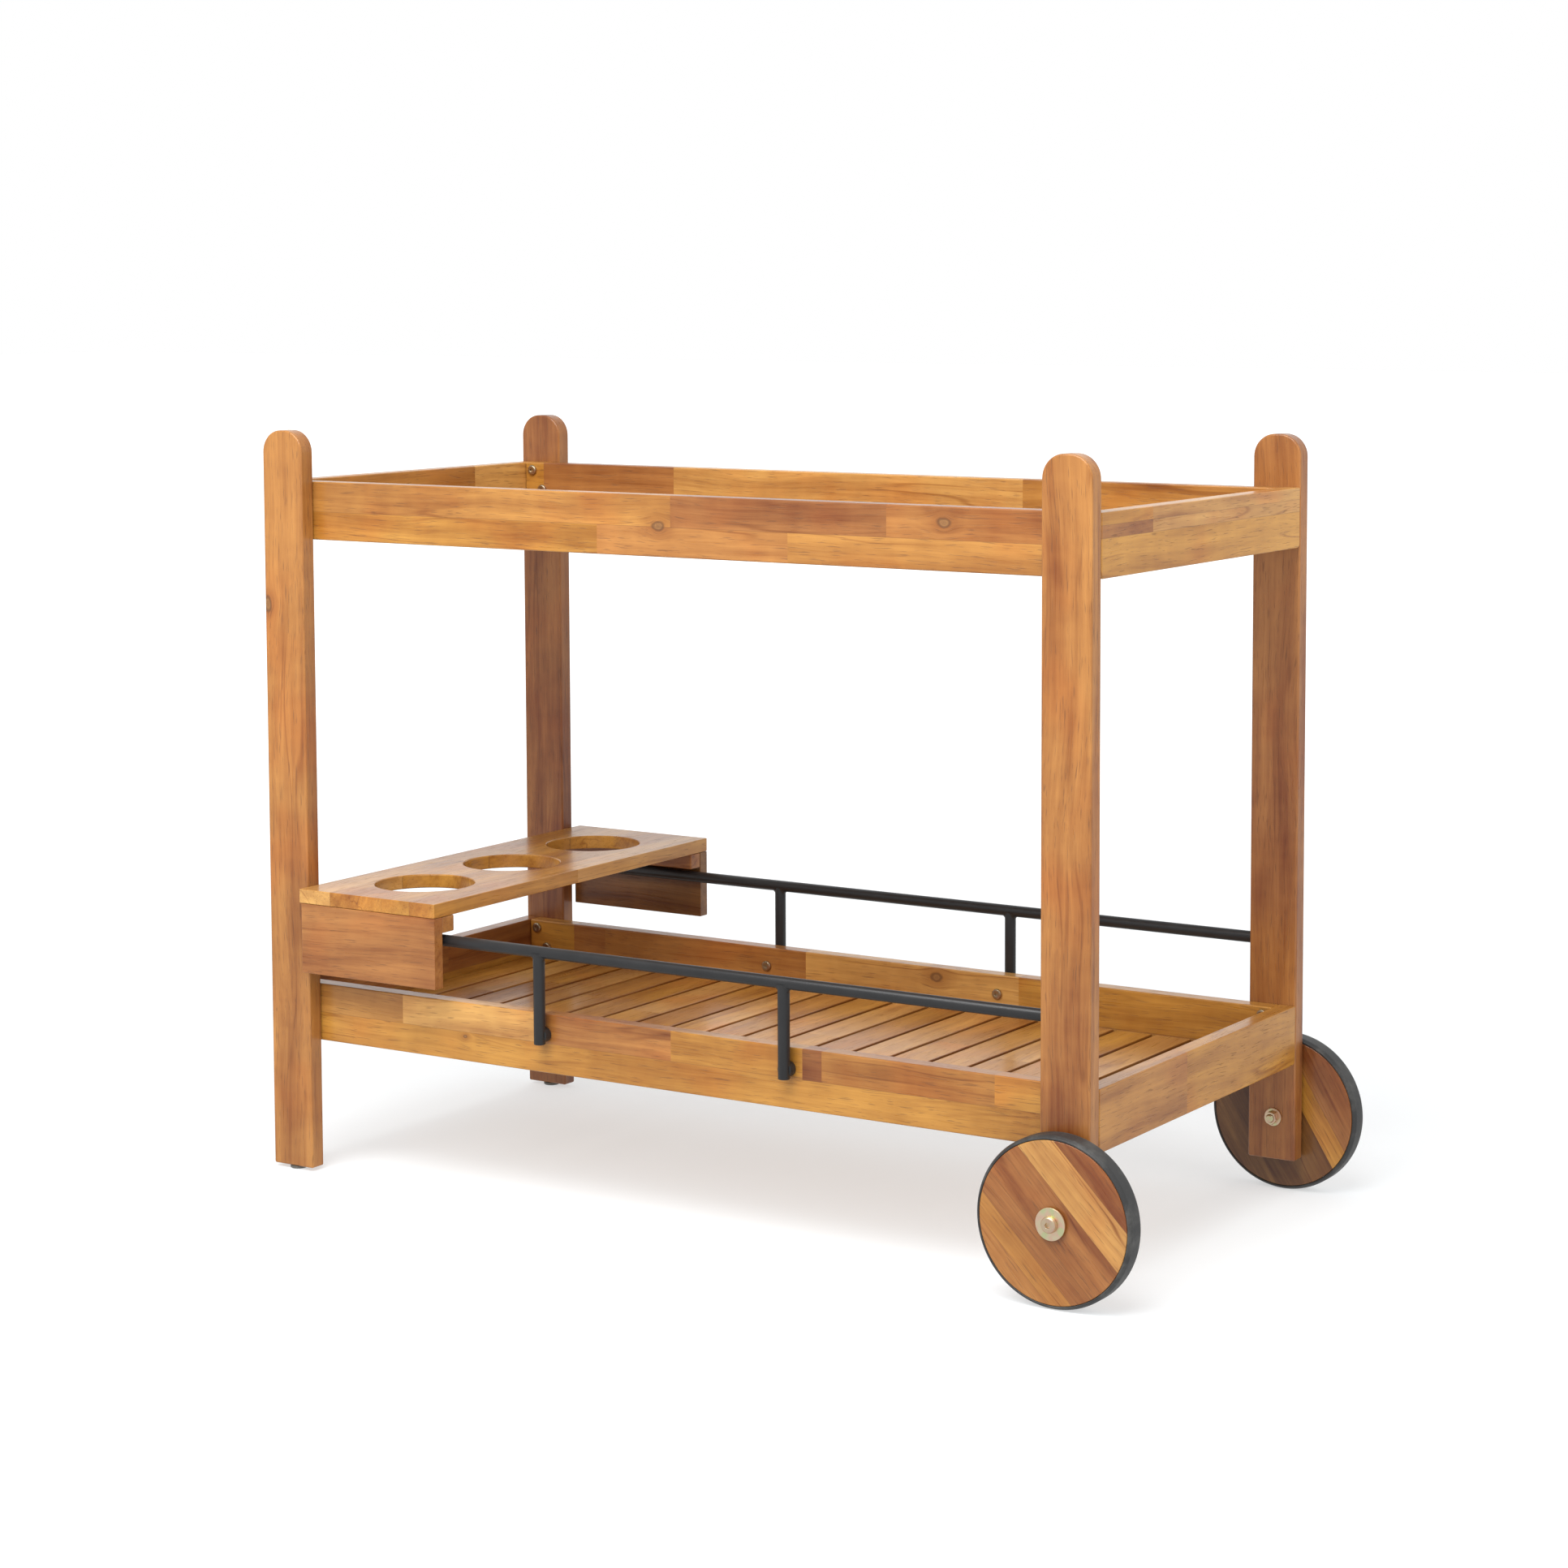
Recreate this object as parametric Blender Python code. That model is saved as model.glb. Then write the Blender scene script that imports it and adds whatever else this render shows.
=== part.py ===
"""Two-tier wooden bar cart with a bottle rack, steel guard rails and two wheels.

Metres, +Z up. X runs along the cart, with the bottle rack at -X and the wheels at +X.
The origin is on the floor at the centre of the cart's bounding box.
"""

import math

import bmesh
import bpy
from mathutils import Matrix, Vector

# Gap kept between pieces that touch.
GAP = 0.0003

# Frame of four legs, measured over their outer faces.
FRAME_LENGTH = 1.066
FRAME_DEPTH = 0.502
LEG_WIDTH = 0.057
LEG_THICKNESS = 0.020
LEG_TOP = 0.850
LEG_TOP_RADIUS = 0.025
WHEEL_LEG_BOTTOM = 0.040
GLIDE_HEIGHT = 0.0035
GLIDE_RADIUS = 0.010
EDGE_EASE = 0.0015

# Trays: the height of each tray's rail tops, and the boards they are made of.
UPPER_TRAY_TOP = 0.792
LOWER_TRAY_TOP = 0.216
RAIL_HEIGHT = 0.066
RAIL_THICKNESS = 0.020
RAIL_CORNER_RADIUS = 0.005
FLOOR_DEPTH = 0.0467
SLAT_COUNT = 21
SLAT_SPACING = 0.005
SLAT_THICKNESS = 0.009
BEARER_WIDTH = 0.018
BEARER_JOINT = 0.001

# Screws that hold the rails to the legs: distance from the leg's outer edge, drop from the rail's top.
LEG_SCREWS = ((0.0312, 0.0095), (0.0461, 0.0333))
SCREW_HEAD_RADIUS = 0.0062
SCREW_HEAD_HEIGHT = 0.003
SCREW_RADIUS = 0.0025
LEG_SCREW_DEPTH = 0.0125
SOCKET_RADIUS = 0.0022
SOCKET_DEPTH = 0.0016

# Bottle rack beside the -X legs, above the lower tray.
RACK_RIGHT = 0.252
RACK_TOP = 0.331
RACK_BOTTOM = 0.235
RACK_BOARD = 0.016
RACK_SIDE_BOARD = 0.015
RACK_SIDE_SETBACK = 0.003
RACK_HOLE_RADIUS = 0.057
RACK_HOLE_PITCH = 0.162
CLEAT_WIDTH = 0.0195
CLEAT_HEIGHT = 0.018

# Guard rails over the lower tray.
ROD_RADIUS = 0.0065
ROD_HEIGHT = 0.2865
POST_POSITIONS = (0.377, 0.697)
POST_BOTTOM = 0.1838
POST_SCREW_HEIGHT = 0.1935
STUB_RADIUS = 0.0085

# Wheels on the outer faces of the +X legs.
WHEEL_RADIUS = 0.088
AXLE_X = 1.040
DISC_RADIUS = 0.0835
WHEEL_WIDTH = 0.025
TYRE_SHOULDER = 0.0042
TYRE_CROWN_DROP = 0.0022
AXLE_RADIUS = 0.004
AXLE_HEAD_RADIUS = 0.0086
AXLE_HEAD_HEIGHT = 0.005
AXLE_SOCKET_RADIUS = 0.0030
AXLE_SOCKET_DEPTH = 0.0030
WHEEL_SPACER_THICKNESS = 0.0044
SECOND_WASHER = (0.012, 0.002)
OUTER_WASHER = (0.0167, 0.002)
INNER_WASHER = (0.0100, 0.0017)
NUT_ACROSS_FLATS = 0.013
NUT_HEIGHT = 0.0068
BOLT_STICK_OUT = 0.0025

# Smoothness of the round pieces.
WHEEL_SEGMENTS = 48
ROD_SEGMENTS = 16
SMALL_SEGMENTS = 12

HALF_DEPTH = FRAME_DEPTH / 2
CENTRE_X = (AXLE_X + WHEEL_RADIUS) / 2
SMOOTH_ANGLE = math.radians(40)

WOODS = {
    "honey": (0.50, 0.25, 0.085),
    "amber": (0.42, 0.19, 0.060),
    "russet": (0.33, 0.13, 0.045),
    "straw": (0.58, 0.33, 0.13),
}


def clear_scene():
    """Remove every object of the start-up scene."""
    for item in list(bpy.data.objects):
        bpy.data.objects.remove(item, do_unlink=True)


def material(name, colour, roughness, metallic):
    """A Principled BSDF material."""
    made = bpy.data.materials.new(name)
    made.use_nodes = True
    shader = made.node_tree.nodes["Principled BSDF"]
    shader.inputs["Base Color"].default_value = (*colour, 1.0)
    shader.inputs["Roughness"].default_value = roughness
    shader.inputs["Metallic"].default_value = metallic
    made.diffuse_color = (*colour, 1.0)
    made.roughness = roughness
    made.metallic = metallic
    return made


def wood(item, shade):
    """Give a wooden piece its own oiled wood material."""
    item.data.materials.append(material(item.name + "_wood", WOODS[shade], 0.45, 0.0))


def zinc(item):
    """Give a fastener its own yellow zinc material."""
    item.data.materials.append(material(item.name + "_zinc", (0.72, 0.60, 0.38), 0.30, 1.0))


def place(x, y, z):
    """World position of a point given from the -X, -Y corner of the leg frame."""
    return Vector((x - CENTRE_X, y - HALF_DEPTH, z))


def new_object(name, shape, at):
    """Turn a bmesh into an object whose origin is at a point of the frame."""
    bmesh.ops.recalc_face_normals(shape, faces=shape.faces)
    mesh = bpy.data.meshes.new(name)
    shape.to_mesh(mesh)
    shape.free()
    item = bpy.data.objects.new(name, mesh)
    item.location = at
    bpy.context.scene.collection.objects.link(item)
    return item


def box_shape(size, centre=(0.0, 0.0, 0.0)):
    """A bmesh box of a given size."""
    shape = bmesh.new()
    bmesh.ops.create_cube(shape, size=1.0)
    bmesh.ops.scale(shape, vec=size, verts=shape.verts)
    bmesh.ops.translate(shape, vec=centre, verts=shape.verts)
    return shape


def ease(item, width=EDGE_EASE, segments=1):
    """Ease the sharp edges of a piece."""
    bevel = item.modifiers.new("eased edges", "BEVEL")
    bevel.width = width
    bevel.segments = segments
    bevel.limit_method = "ANGLE"
    bevel.angle_limit = SMOOTH_ANGLE


def board(name, low, high, shade, width=EDGE_EASE, segments=1):
    """A plain board between two corners, with eased edges."""
    size = tuple(high[axis] - low[axis] for axis in range(3))
    middle = tuple((high[axis] + low[axis]) / 2 for axis in range(3))
    item = new_object(name, box_shape(size), place(*middle))
    wood(item, shade)
    if width:
        ease(item, width, segments)
    return item


def turned_shape(profile, segments):
    """Turn a closed (radius, along) profile about the Y axis into a solid."""
    shape = bmesh.new()
    points = [shape.verts.new((radius, along, 0.0)) for radius, along in profile]
    edges = []
    for index, point in enumerate(points):
        following = points[(index + 1) % len(points)]
        on_axis = point.co.x == 0.0 and following.co.x == 0.0
        if not on_axis:
            edges.append(shape.edges.new((point, following)))
    bmesh.ops.spin(
        shape,
        geom=points + edges,
        cent=(0.0, 0.0, 0.0),
        axis=(0.0, 1.0, 0.0),
        angle=math.tau,
        steps=segments,
        use_merge=True,
        use_duplicate=False,
    )
    bmesh.ops.remove_doubles(shape, verts=shape.verts, dist=0.00001)
    return shape


def smooth(item):
    """Shade a round piece smooth, with its corners kept sharp."""
    item.data.shade_smooth()
    item.data.set_sharp_from_angle(angle=SMOOTH_ANGLE)


def turned(name, profile, at, segments=SMALL_SEGMENTS):
    """A turned piece whose axis runs along Y through a point of the frame."""
    item = new_object(name, turned_shape(profile, segments), at)
    smooth(item)
    return item


def rod_shape(radius, low, high, axis, segments=SMALL_SEGMENTS):
    """A closed cylinder between two distances along X, Y or Z, in world coordinates."""
    shape = bmesh.new()
    bmesh.ops.create_cone(
        shape,
        cap_ends=True,
        segments=segments,
        radius1=radius,
        radius2=radius,
        depth=(high - low).length,
    )
    turn = {
        "X": Matrix.Rotation(math.pi / 2, 4, "Y"),
        "Y": Matrix.Rotation(math.pi / 2, 4, "X"),
        "Z": Matrix.Identity(4),
    }[axis]
    bmesh.ops.transform(shape, matrix=Matrix.Translation((low + high) / 2) @ turn, verts=shape.verts)
    return shape


def join_shapes(shapes):
    """Put several closed shapes in one bmesh."""
    whole = bmesh.new()
    for shape in shapes:
        mesh = bpy.data.meshes.new("piece")
        shape.to_mesh(mesh)
        shape.free()
        whole.from_mesh(mesh)
        bpy.data.meshes.remove(mesh)
    return whole


def cut(item, shapes):
    """Cut a set of closed world-space shapes out of a piece."""
    cutter = helper(item.name + "_cutter", join_shapes(shapes))
    boolean = item.modifiers.new("holes", "BOOLEAN")
    boolean.operation = "DIFFERENCE"
    boolean.solver = "EXACT"
    boolean.object = cutter


def hole(x, z, y_from, y_to, radius=SCREW_RADIUS + GAP, segments=SMALL_SEGMENTS):
    """A cutting cylinder along Y, between two depths in the frame."""
    return rod_shape(radius, place(x, y_from, z), place(x, y_to, z), "Y", segments)


def screw_places(side, top):
    """The two (x, z) places where one leg's screws enter a rail at the -X or +X end."""
    places = []
    for inset, drop in LEG_SCREWS:
        x = inset if side == "left" else FRAME_LENGTH - inset
        places.append((x, top - drop))
    return places


def mirrored(y, row):
    """A depth in the frame, counted from the front or from the back."""
    return y if row == "front" else FRAME_DEPTH - y


def leg(name, side, row, shade):
    """A leg board with a rounded top; the +X legs are shorter and bored for an axle."""
    left = 0.0 if side == "left" else FRAME_LENGTH - LEG_WIDTH
    bottom = GLIDE_HEIGHT + GAP if side == "left" else WHEEL_LEG_BOTTOM
    height = LEG_TOP - bottom
    shape = box_shape((LEG_WIDTH, LEG_THICKNESS, height))
    top_edges = [
        edge
        for edge in shape.edges
        if all(vert.co.z > 0.0 for vert in edge.verts)
        and abs(edge.verts[0].co.y - edge.verts[1].co.y) > LEG_THICKNESS / 2
    ]
    bmesh.ops.bevel(
        shape,
        geom=top_edges,
        offset=LEG_TOP_RADIUS,
        segments=8,
        profile=0.5,
        affect="EDGES",
    )
    middle = place(left + LEG_WIDTH / 2, mirrored(LEG_THICKNESS / 2, row), bottom + height / 2)
    item = new_object(name, shape, middle)
    wood(item, shade)
    ease(item, 0.002)
    inside = mirrored(LEG_THICKNESS + 0.002, row)
    bottom_of_hole = mirrored(LEG_THICKNESS - LEG_SCREW_DEPTH - GAP, row)
    holes = []
    for top in (UPPER_TRAY_TOP, LOWER_TRAY_TOP):
        for x, z in screw_places(side, top):
            holes.append(hole(x, z, inside, bottom_of_hole))
    if side == "right":
        outside = mirrored(-0.002, row)
        holes.append(hole(AXLE_X, WHEEL_RADIUS, outside, inside, AXLE_RADIUS + GAP))
    cut(item, holes)
    return item


def long_rail(name, row, top, shade, with_posts):
    """A rail along X against the inner faces of two legs, drilled for its screws."""
    outer = LEG_THICKNESS + GAP
    depths = sorted(mirrored(y, row) for y in (outer, outer + RAIL_THICKNESS))
    low = (RAIL_THICKNESS + GAP, depths[0], top - RAIL_HEIGHT)
    high = (FRAME_LENGTH - RAIL_THICKNESS - GAP, depths[1], top)
    item = board(name, low, high, shade)
    places = screw_places("left", top) + screw_places("right", top)
    if with_posts:
        places += [(x, POST_SCREW_HEIGHT) for x in POST_POSITIONS]
    cut(item, [hole(x, z, depths[0] - 0.002, depths[1] + 0.002) for x, z in places])
    return item


def end_rail(name, side, top, shade):
    """A rail along Y between two legs, flush with their end faces, its lower corners rounded."""
    centre_x = RAIL_THICKNESS / 2 if side == "left" else FRAME_LENGTH - RAIL_THICKNESS / 2
    span = FRAME_DEPTH - 2 * (LEG_THICKNESS + GAP)
    shape = box_shape((RAIL_THICKNESS, span, RAIL_HEIGHT))
    lower_edges = [
        edge
        for edge in shape.edges
        if all(vert.co.z < 0.0 for vert in edge.verts)
        and abs(edge.verts[0].co.x - edge.verts[1].co.x) > RAIL_THICKNESS / 2
    ]
    bmesh.ops.bevel(
        shape,
        geom=lower_edges,
        offset=RAIL_CORNER_RADIUS,
        segments=4,
        profile=0.5,
        affect="EDGES",
    )
    item = new_object(name, shape, place(centre_x, HALF_DEPTH, top - RAIL_HEIGHT / 2))
    wood(item, shade)
    ease(item)
    return item


def bearer_shape(row, top):
    """A strip along the foot of a long rail, let into the slats that it carries."""
    outer = LEG_THICKNESS + RAIL_THICKNESS + 2 * GAP
    depths = sorted(mirrored(y, row) for y in (outer, outer + BEARER_WIDTH))
    start = RAIL_THICKNESS + 2 * GAP
    bottom = top - RAIL_HEIGHT + GAP
    seat = top - FLOOR_DEPTH - SLAT_THICKNESS + BEARER_JOINT
    size = (FRAME_LENGTH - 2 * start - 2 * BEARER_JOINT, BEARER_WIDTH, seat - bottom)
    middle_y = (depths[0] + depths[1]) / 2
    return box_shape(size, place(FRAME_LENGTH / 2, middle_y, (seat + bottom) / 2))


def slat_span():
    """The X of the first slat's -X edge, and the width of each slat."""
    start = RAIL_THICKNESS + 2 * GAP
    free = FRAME_LENGTH - 2 * start - (SLAT_COUNT - 1) * SLAT_SPACING
    return start, free / SLAT_COUNT


def slat_corners(index, top):
    """The low and high corners of one slat of a tray's floor."""
    start, width = slat_span()
    left = start + index * (width + SLAT_SPACING)
    inner = LEG_THICKNESS + RAIL_THICKNESS + 2 * GAP
    surface = top - FLOOR_DEPTH
    low = (left, inner, surface - SLAT_THICKNESS)
    high = (left + width, FRAME_DEPTH - inner, surface)
    return low, high


def helper(name, shape):
    """A hidden shape that a Boolean reads."""
    item = new_object(name, shape, (0.0, 0.0, 0.0))
    item.hide_render = True
    item.display_type = "WIRE"
    return item


def unite(item, other, label):
    """Join a hidden shape to a piece."""
    union = item.modifiers.new(label, "BOOLEAN")
    union.operation = "UNION"
    union.solver = "EXACT"
    union.object = other


def slat_panel(name, top, shade):
    """One tray's floor: spaced slats made fast to two bearers, as one panel."""
    slats = []
    for index in range(SLAT_COUNT):
        low, high = slat_corners(index, top)
        size = tuple(high[axis] - low[axis] for axis in range(3))
        middle = tuple((high[axis] + low[axis]) / 2 for axis in range(3))
        slats.append(box_shape(size, place(*middle)))
    loose = helper(name + "_loose", join_shapes(slats))
    bearers = join_shapes([bearer_shape(row, top) for row in ("front", "back")])
    item = new_object(name, bearers, (0.0, 0.0, 0.0))
    wood(item, shade)
    unite(item, loose, "slats on bearers")
    return item


def rack():
    """The bottle rack: a pierced top board, two side boards and two corner cleats."""
    left = LEG_WIDTH + GAP
    top = board(
        "rack_top",
        (left, -RACK_SIDE_BOARD - 2 * GAP, RACK_TOP - RACK_BOARD),
        (RACK_RIGHT, FRAME_DEPTH + RACK_SIDE_BOARD + 2 * GAP, RACK_TOP),
        "honey",
    )
    centre_x = (left + RACK_RIGHT) / 2
    bores = []
    for step in (-1, 0, 1):
        y = HALF_DEPTH + step * RACK_HOLE_PITCH
        below = place(centre_x, y, RACK_TOP - RACK_BOARD - 0.004)
        above = place(centre_x, y, RACK_TOP + 0.004)
        bores.append(rod_shape(RACK_HOLE_RADIUS, below, above, "Z", WHEEL_SEGMENTS))
    cut(top, bores)
    underside = RACK_TOP - RACK_BOARD - GAP
    for row in ("front", "back"):
        depths = sorted(mirrored(y, row) for y in (-2 * GAP - RACK_SIDE_BOARD, -2 * GAP))
        board(
            "rack_side_" + row,
            (LEG_WIDTH + RACK_SIDE_SETBACK, depths[0], RACK_BOTTOM),
            (RACK_RIGHT, depths[1], underside),
            "amber",
            0.002,
        )
        depths = sorted(mirrored(y, row) for y in (-GAP, CLEAT_WIDTH))
        board(
            "rack_cleat_" + row,
            (left, depths[0], underside - CLEAT_HEIGHT),
            (RACK_RIGHT, depths[1], underside),
            "russet",
            0.001,
        )


def guard_rail(name, row):
    """A round steel bar between two legs with two welded posts and their stubs, drilled for screws."""
    y = mirrored(LEG_THICKNESS / 2, row)
    low = place(LEG_WIDTH + GAP, y, ROD_HEIGHT)
    high = place(FRAME_LENGTH - LEG_WIDTH - GAP, y, ROD_HEIGHT)
    item = new_object(name, rod_shape(ROD_RADIUS, low, high, "X", ROD_SEGMENTS), (0.0, 0.0, 0.0))
    item.data.materials.append(material(name + "_steel", (0.020, 0.021, 0.023), 0.42, 0.35))
    posts = []
    stubs = []
    for x in POST_POSITIONS:
        foot = place(x, y, POST_BOTTOM)
        head = place(x, y, ROD_HEIGHT)
        posts.append(rod_shape(ROD_RADIUS * 0.995, foot, head, "Z", ROD_SEGMENTS))
        stub_end = mirrored(LEG_THICKNESS, row)
        stubs.append(hole(x, POST_SCREW_HEIGHT, y, stub_end, STUB_RADIUS, ROD_SEGMENTS))
    unite(item, helper(name + "_posts", join_shapes(posts)), "welded posts")
    unite(item, helper(name + "_stubs", join_shapes(stubs)), "welded stubs")
    inside = mirrored(LEG_THICKNESS + 0.002, row)
    tip = mirrored(LEG_THICKNESS - LEG_SCREW_DEPTH - GAP, row)
    cut(item, [hole(x, POST_SCREW_HEIGHT, inside, tip) for x in POST_POSITIONS])
    smooth(item)
    return item


def ring_profile(outer, inner, low, high):
    """The (radius, along) profile of a plain ring."""
    return [(inner, low), (outer, low), (outer, high), (inner, high)]


def button_profile(head_radius, head_height, shank_radius, shank_length, socket_radius, socket_depth):
    """A domed head that stands out along -Y, with a round socket, and a shank along +Y."""
    top = -head_height
    return [
        (0.0, top + socket_depth),
        (socket_radius, top + socket_depth),
        (socket_radius, top),
        (head_radius * 0.70, top),
        (head_radius, top * 0.35),
        (head_radius, 0.0),
        (shank_radius, 0.0),
        (shank_radius, shank_length),
        (0.0, shank_length),
    ]


def along_depth(name, profile, x, y, z, row, segments=SMALL_SEGMENTS):
    """A turned piece at a depth in the frame, its profile's +Y pointing in or out of the cart."""
    shape = turned_shape(profile, segments)
    if row == "back":
        turn = Matrix.Rotation(math.pi, 4, "Z")
        bmesh.ops.transform(shape, matrix=turn, verts=shape.verts)
    item = new_object(name, shape, place(x, mirrored(y, row), z))
    smooth(item)
    zinc(item)
    return item


def flipped(profile):
    """The same profile, pointing the other way along its axis."""
    return [(radius, -along) for radius, along in profile]


def screw(name, x, z, row, length):
    """A screw driven outwards through a long rail, its head on the rail's inner face."""
    head_face = LEG_THICKNESS + RAIL_THICKNESS + 2 * GAP
    profile = button_profile(
        SCREW_HEAD_RADIUS, SCREW_HEAD_HEIGHT, SCREW_RADIUS, length, SOCKET_RADIUS, SOCKET_DEPTH
    )
    along_depth(name, flipped(profile), x, head_face, z, row)


def leg_screws(level, top):
    """The eight screws that hold one tray's long rails to the legs."""
    length = RAIL_THICKNESS + LEG_SCREW_DEPTH + 2 * GAP
    for row in ("front", "back"):
        for side in ("left", "right"):
            for place_name, (x, z) in zip(("high", "low"), screw_places(side, top)):
                name = "_".join((level, "leg_screw", side, row, place_name))
                screw(name, x, z, row, length)


def guard_screws():
    """The screws through the lower long rails into the guard posts."""
    length = RAIL_THICKNESS + LEG_SCREW_DEPTH + 2 * GAP
    for row in ("front", "back"):
        for side, x in zip(("left", "right"), POST_POSITIONS):
            screw("_".join(("guard_screw", row, side)), x, POST_SCREW_HEIGHT, row, length)


def tyre_profile():
    """The closed (radius, along) profile of the tyre band, its shoulders bevelled."""
    inner = DISC_RADIUS + GAP
    side = WHEEL_RADIUS - TYRE_CROWN_DROP
    half = WHEEL_WIDTH / 2
    return [
        (inner, -half),
        (side, -half),
        (WHEEL_RADIUS, -half + TYRE_SHOULDER),
        (WHEEL_RADIUS, half - TYRE_SHOULDER),
        (side, half),
        (inner, half),
    ]


def wheel(row, shade):
    """One wheel: a wooden disc with a rubber band, both centred on the axle."""
    along = mirrored(-WHEEL_SPACER_THICKNESS - 2 * GAP - WHEEL_WIDTH / 2, row)
    centre = place(AXLE_X, along, WHEEL_RADIUS)
    edge = 0.001
    half = WHEEL_WIDTH / 2
    bore = AXLE_RADIUS + GAP
    disc_profile = [
        (bore, -half),
        (DISC_RADIUS - edge, -half),
        (DISC_RADIUS, -half + edge),
        (DISC_RADIUS, half - edge),
        (DISC_RADIUS - edge, half),
        (bore, half),
    ]
    wood(turned("wheel_disc_" + row, disc_profile, centre, WHEEL_SEGMENTS), shade)
    tyre = turned("wheel_tyre_" + row, tyre_profile(), centre, WHEEL_SEGMENTS)
    tyre.data.materials.append(material(tyre.name + "_rubber", (0.022, 0.022, 0.024), 0.60, 0.0))


def axle(row):
    """The bolt, washers, spacer and nut that hold one wheel to its leg."""
    bore = AXLE_RADIUS + GAP
    second_low = -WHEEL_SPACER_THICKNESS - WHEEL_WIDTH - 3 * GAP - SECOND_WASHER[1]
    outer_low = second_low - GAP - OUTER_WASHER[1]
    head_face = outer_low - GAP
    inner_low = LEG_THICKNESS + GAP
    nut_low = inner_low + INNER_WASHER[1] + GAP
    nut_high = nut_low + NUT_HEIGHT
    spacer_low = -GAP - WHEEL_SPACER_THICKNESS
    rings = (
        ("wheel_outer_washer_", OUTER_WASHER[0], outer_low, second_low - GAP, 32),
        ("wheel_second_washer_", SECOND_WASHER[0], second_low, second_low + SECOND_WASHER[1], 20),
        ("wheel_spacer_", SECOND_WASHER[0], spacer_low, -GAP, 20),
        ("axle_inner_washer_", INNER_WASHER[0], inner_low, nut_low - GAP, 20),
    )
    for name, radius, low, high, segments in rings:
        profile = ring_profile(radius, bore, 0.0, high - low)
        along_depth(name + row, profile, AXLE_X, low, WHEEL_RADIUS, row, segments)
    corner = NUT_ACROSS_FLATS / math.sqrt(3)
    prism = [(0.0, 0.0), (corner, 0.0), (corner, NUT_HEIGHT), (0.0, NUT_HEIGHT)]
    nut = along_depth("axle_nut_" + row, prism, AXLE_X, nut_low, WHEEL_RADIUS, row, 6)
    through = (mirrored(depth, row) for depth in (nut_low - 0.002, nut_high + 0.002))
    cut(nut, [hole(AXLE_X, WHEEL_RADIUS, *through, bore, 16)])
    profile = button_profile(
        AXLE_HEAD_RADIUS,
        AXLE_HEAD_HEIGHT,
        AXLE_RADIUS,
        nut_high + BOLT_STICK_OUT - head_face,
        AXLE_SOCKET_RADIUS,
        AXLE_SOCKET_DEPTH,
    )
    along_depth("axle_bolt_" + row, profile, AXLE_X, head_face, WHEEL_RADIUS, row, 16)


def glide(row):
    """The round glide under a leg that stands on the floor."""
    profile = [(0.0, 0.0), (GLIDE_RADIUS * 0.8, 0.0), (GLIDE_RADIUS, 0.001)]
    profile += [(GLIDE_RADIUS, GLIDE_HEIGHT), (0.0, GLIDE_HEIGHT)]
    shape = turned_shape(profile, SMALL_SEGMENTS)
    upright = Matrix.Rotation(math.pi / 2, 4, "X")
    bmesh.ops.transform(shape, matrix=upright, verts=shape.verts)
    centre = place(LEG_WIDTH / 2, mirrored(LEG_THICKNESS / 2, row), 0.0)
    item = new_object("glide_" + row, shape, centre)
    smooth(item)
    item.data.materials.append(material("glide_" + row + "_nylon", (0.10, 0.09, 0.08), 0.50, 0.0))


def tray(level, top, with_posts, shades):
    """The rails, slatted floor and leg screws of one tray."""
    long_rail(level + "_rail_front", "front", top, shades[0], with_posts)
    long_rail(level + "_rail_back", "back", top, shades[1], with_posts)
    end_rail(level + "_rail_left", "left", top, shades[2])
    end_rail(level + "_rail_right", "right", top, shades[3])
    slat_panel(level + "_slat_panel", top, shades[4])
    leg_screws(level, top)


def main():
    clear_scene()
    leg("leg_left_front", "left", "front", "honey")
    leg("leg_left_back", "left", "back", "amber")
    leg("leg_right_front", "right", "front", "honey")
    leg("leg_right_back", "right", "back", "russet")
    tray("upper", UPPER_TRAY_TOP, False, ("amber", "honey", "amber", "honey", "amber"))
    tray("lower", LOWER_TRAY_TOP, True, ("honey", "amber", "russet", "honey", "straw"))
    rack()
    guard_screws()
    for row, shade in (("front", "amber"), ("back", "russet")):
        guard_rail("guard_rail_" + row, row)
        wheel(row, shade)
        axle(row)
        glide(row)


main()
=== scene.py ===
"""Looks of the bar cart: jointed acacia, black steel rails, zinc hardware, rubber tyres."""

import math

import bmesh
import bpy
from mathutils import Matrix, Vector


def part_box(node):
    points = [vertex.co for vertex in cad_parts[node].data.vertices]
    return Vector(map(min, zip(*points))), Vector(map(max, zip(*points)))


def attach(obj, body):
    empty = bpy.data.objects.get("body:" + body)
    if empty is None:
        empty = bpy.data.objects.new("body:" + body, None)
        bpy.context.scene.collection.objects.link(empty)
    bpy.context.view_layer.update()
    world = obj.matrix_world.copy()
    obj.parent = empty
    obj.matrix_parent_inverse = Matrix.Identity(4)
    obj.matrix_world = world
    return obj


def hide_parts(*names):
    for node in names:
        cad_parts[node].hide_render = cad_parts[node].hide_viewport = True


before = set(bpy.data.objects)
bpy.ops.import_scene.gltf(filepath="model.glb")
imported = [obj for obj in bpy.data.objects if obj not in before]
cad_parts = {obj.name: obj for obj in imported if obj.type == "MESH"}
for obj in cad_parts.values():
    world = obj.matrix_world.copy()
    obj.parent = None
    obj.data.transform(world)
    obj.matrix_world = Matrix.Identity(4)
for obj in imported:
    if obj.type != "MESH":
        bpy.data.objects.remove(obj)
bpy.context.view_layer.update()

X, Y, Z = Vector((1, 0, 0)), Vector((0, 1, 0)), Vector((0, 0, 1))

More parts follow.
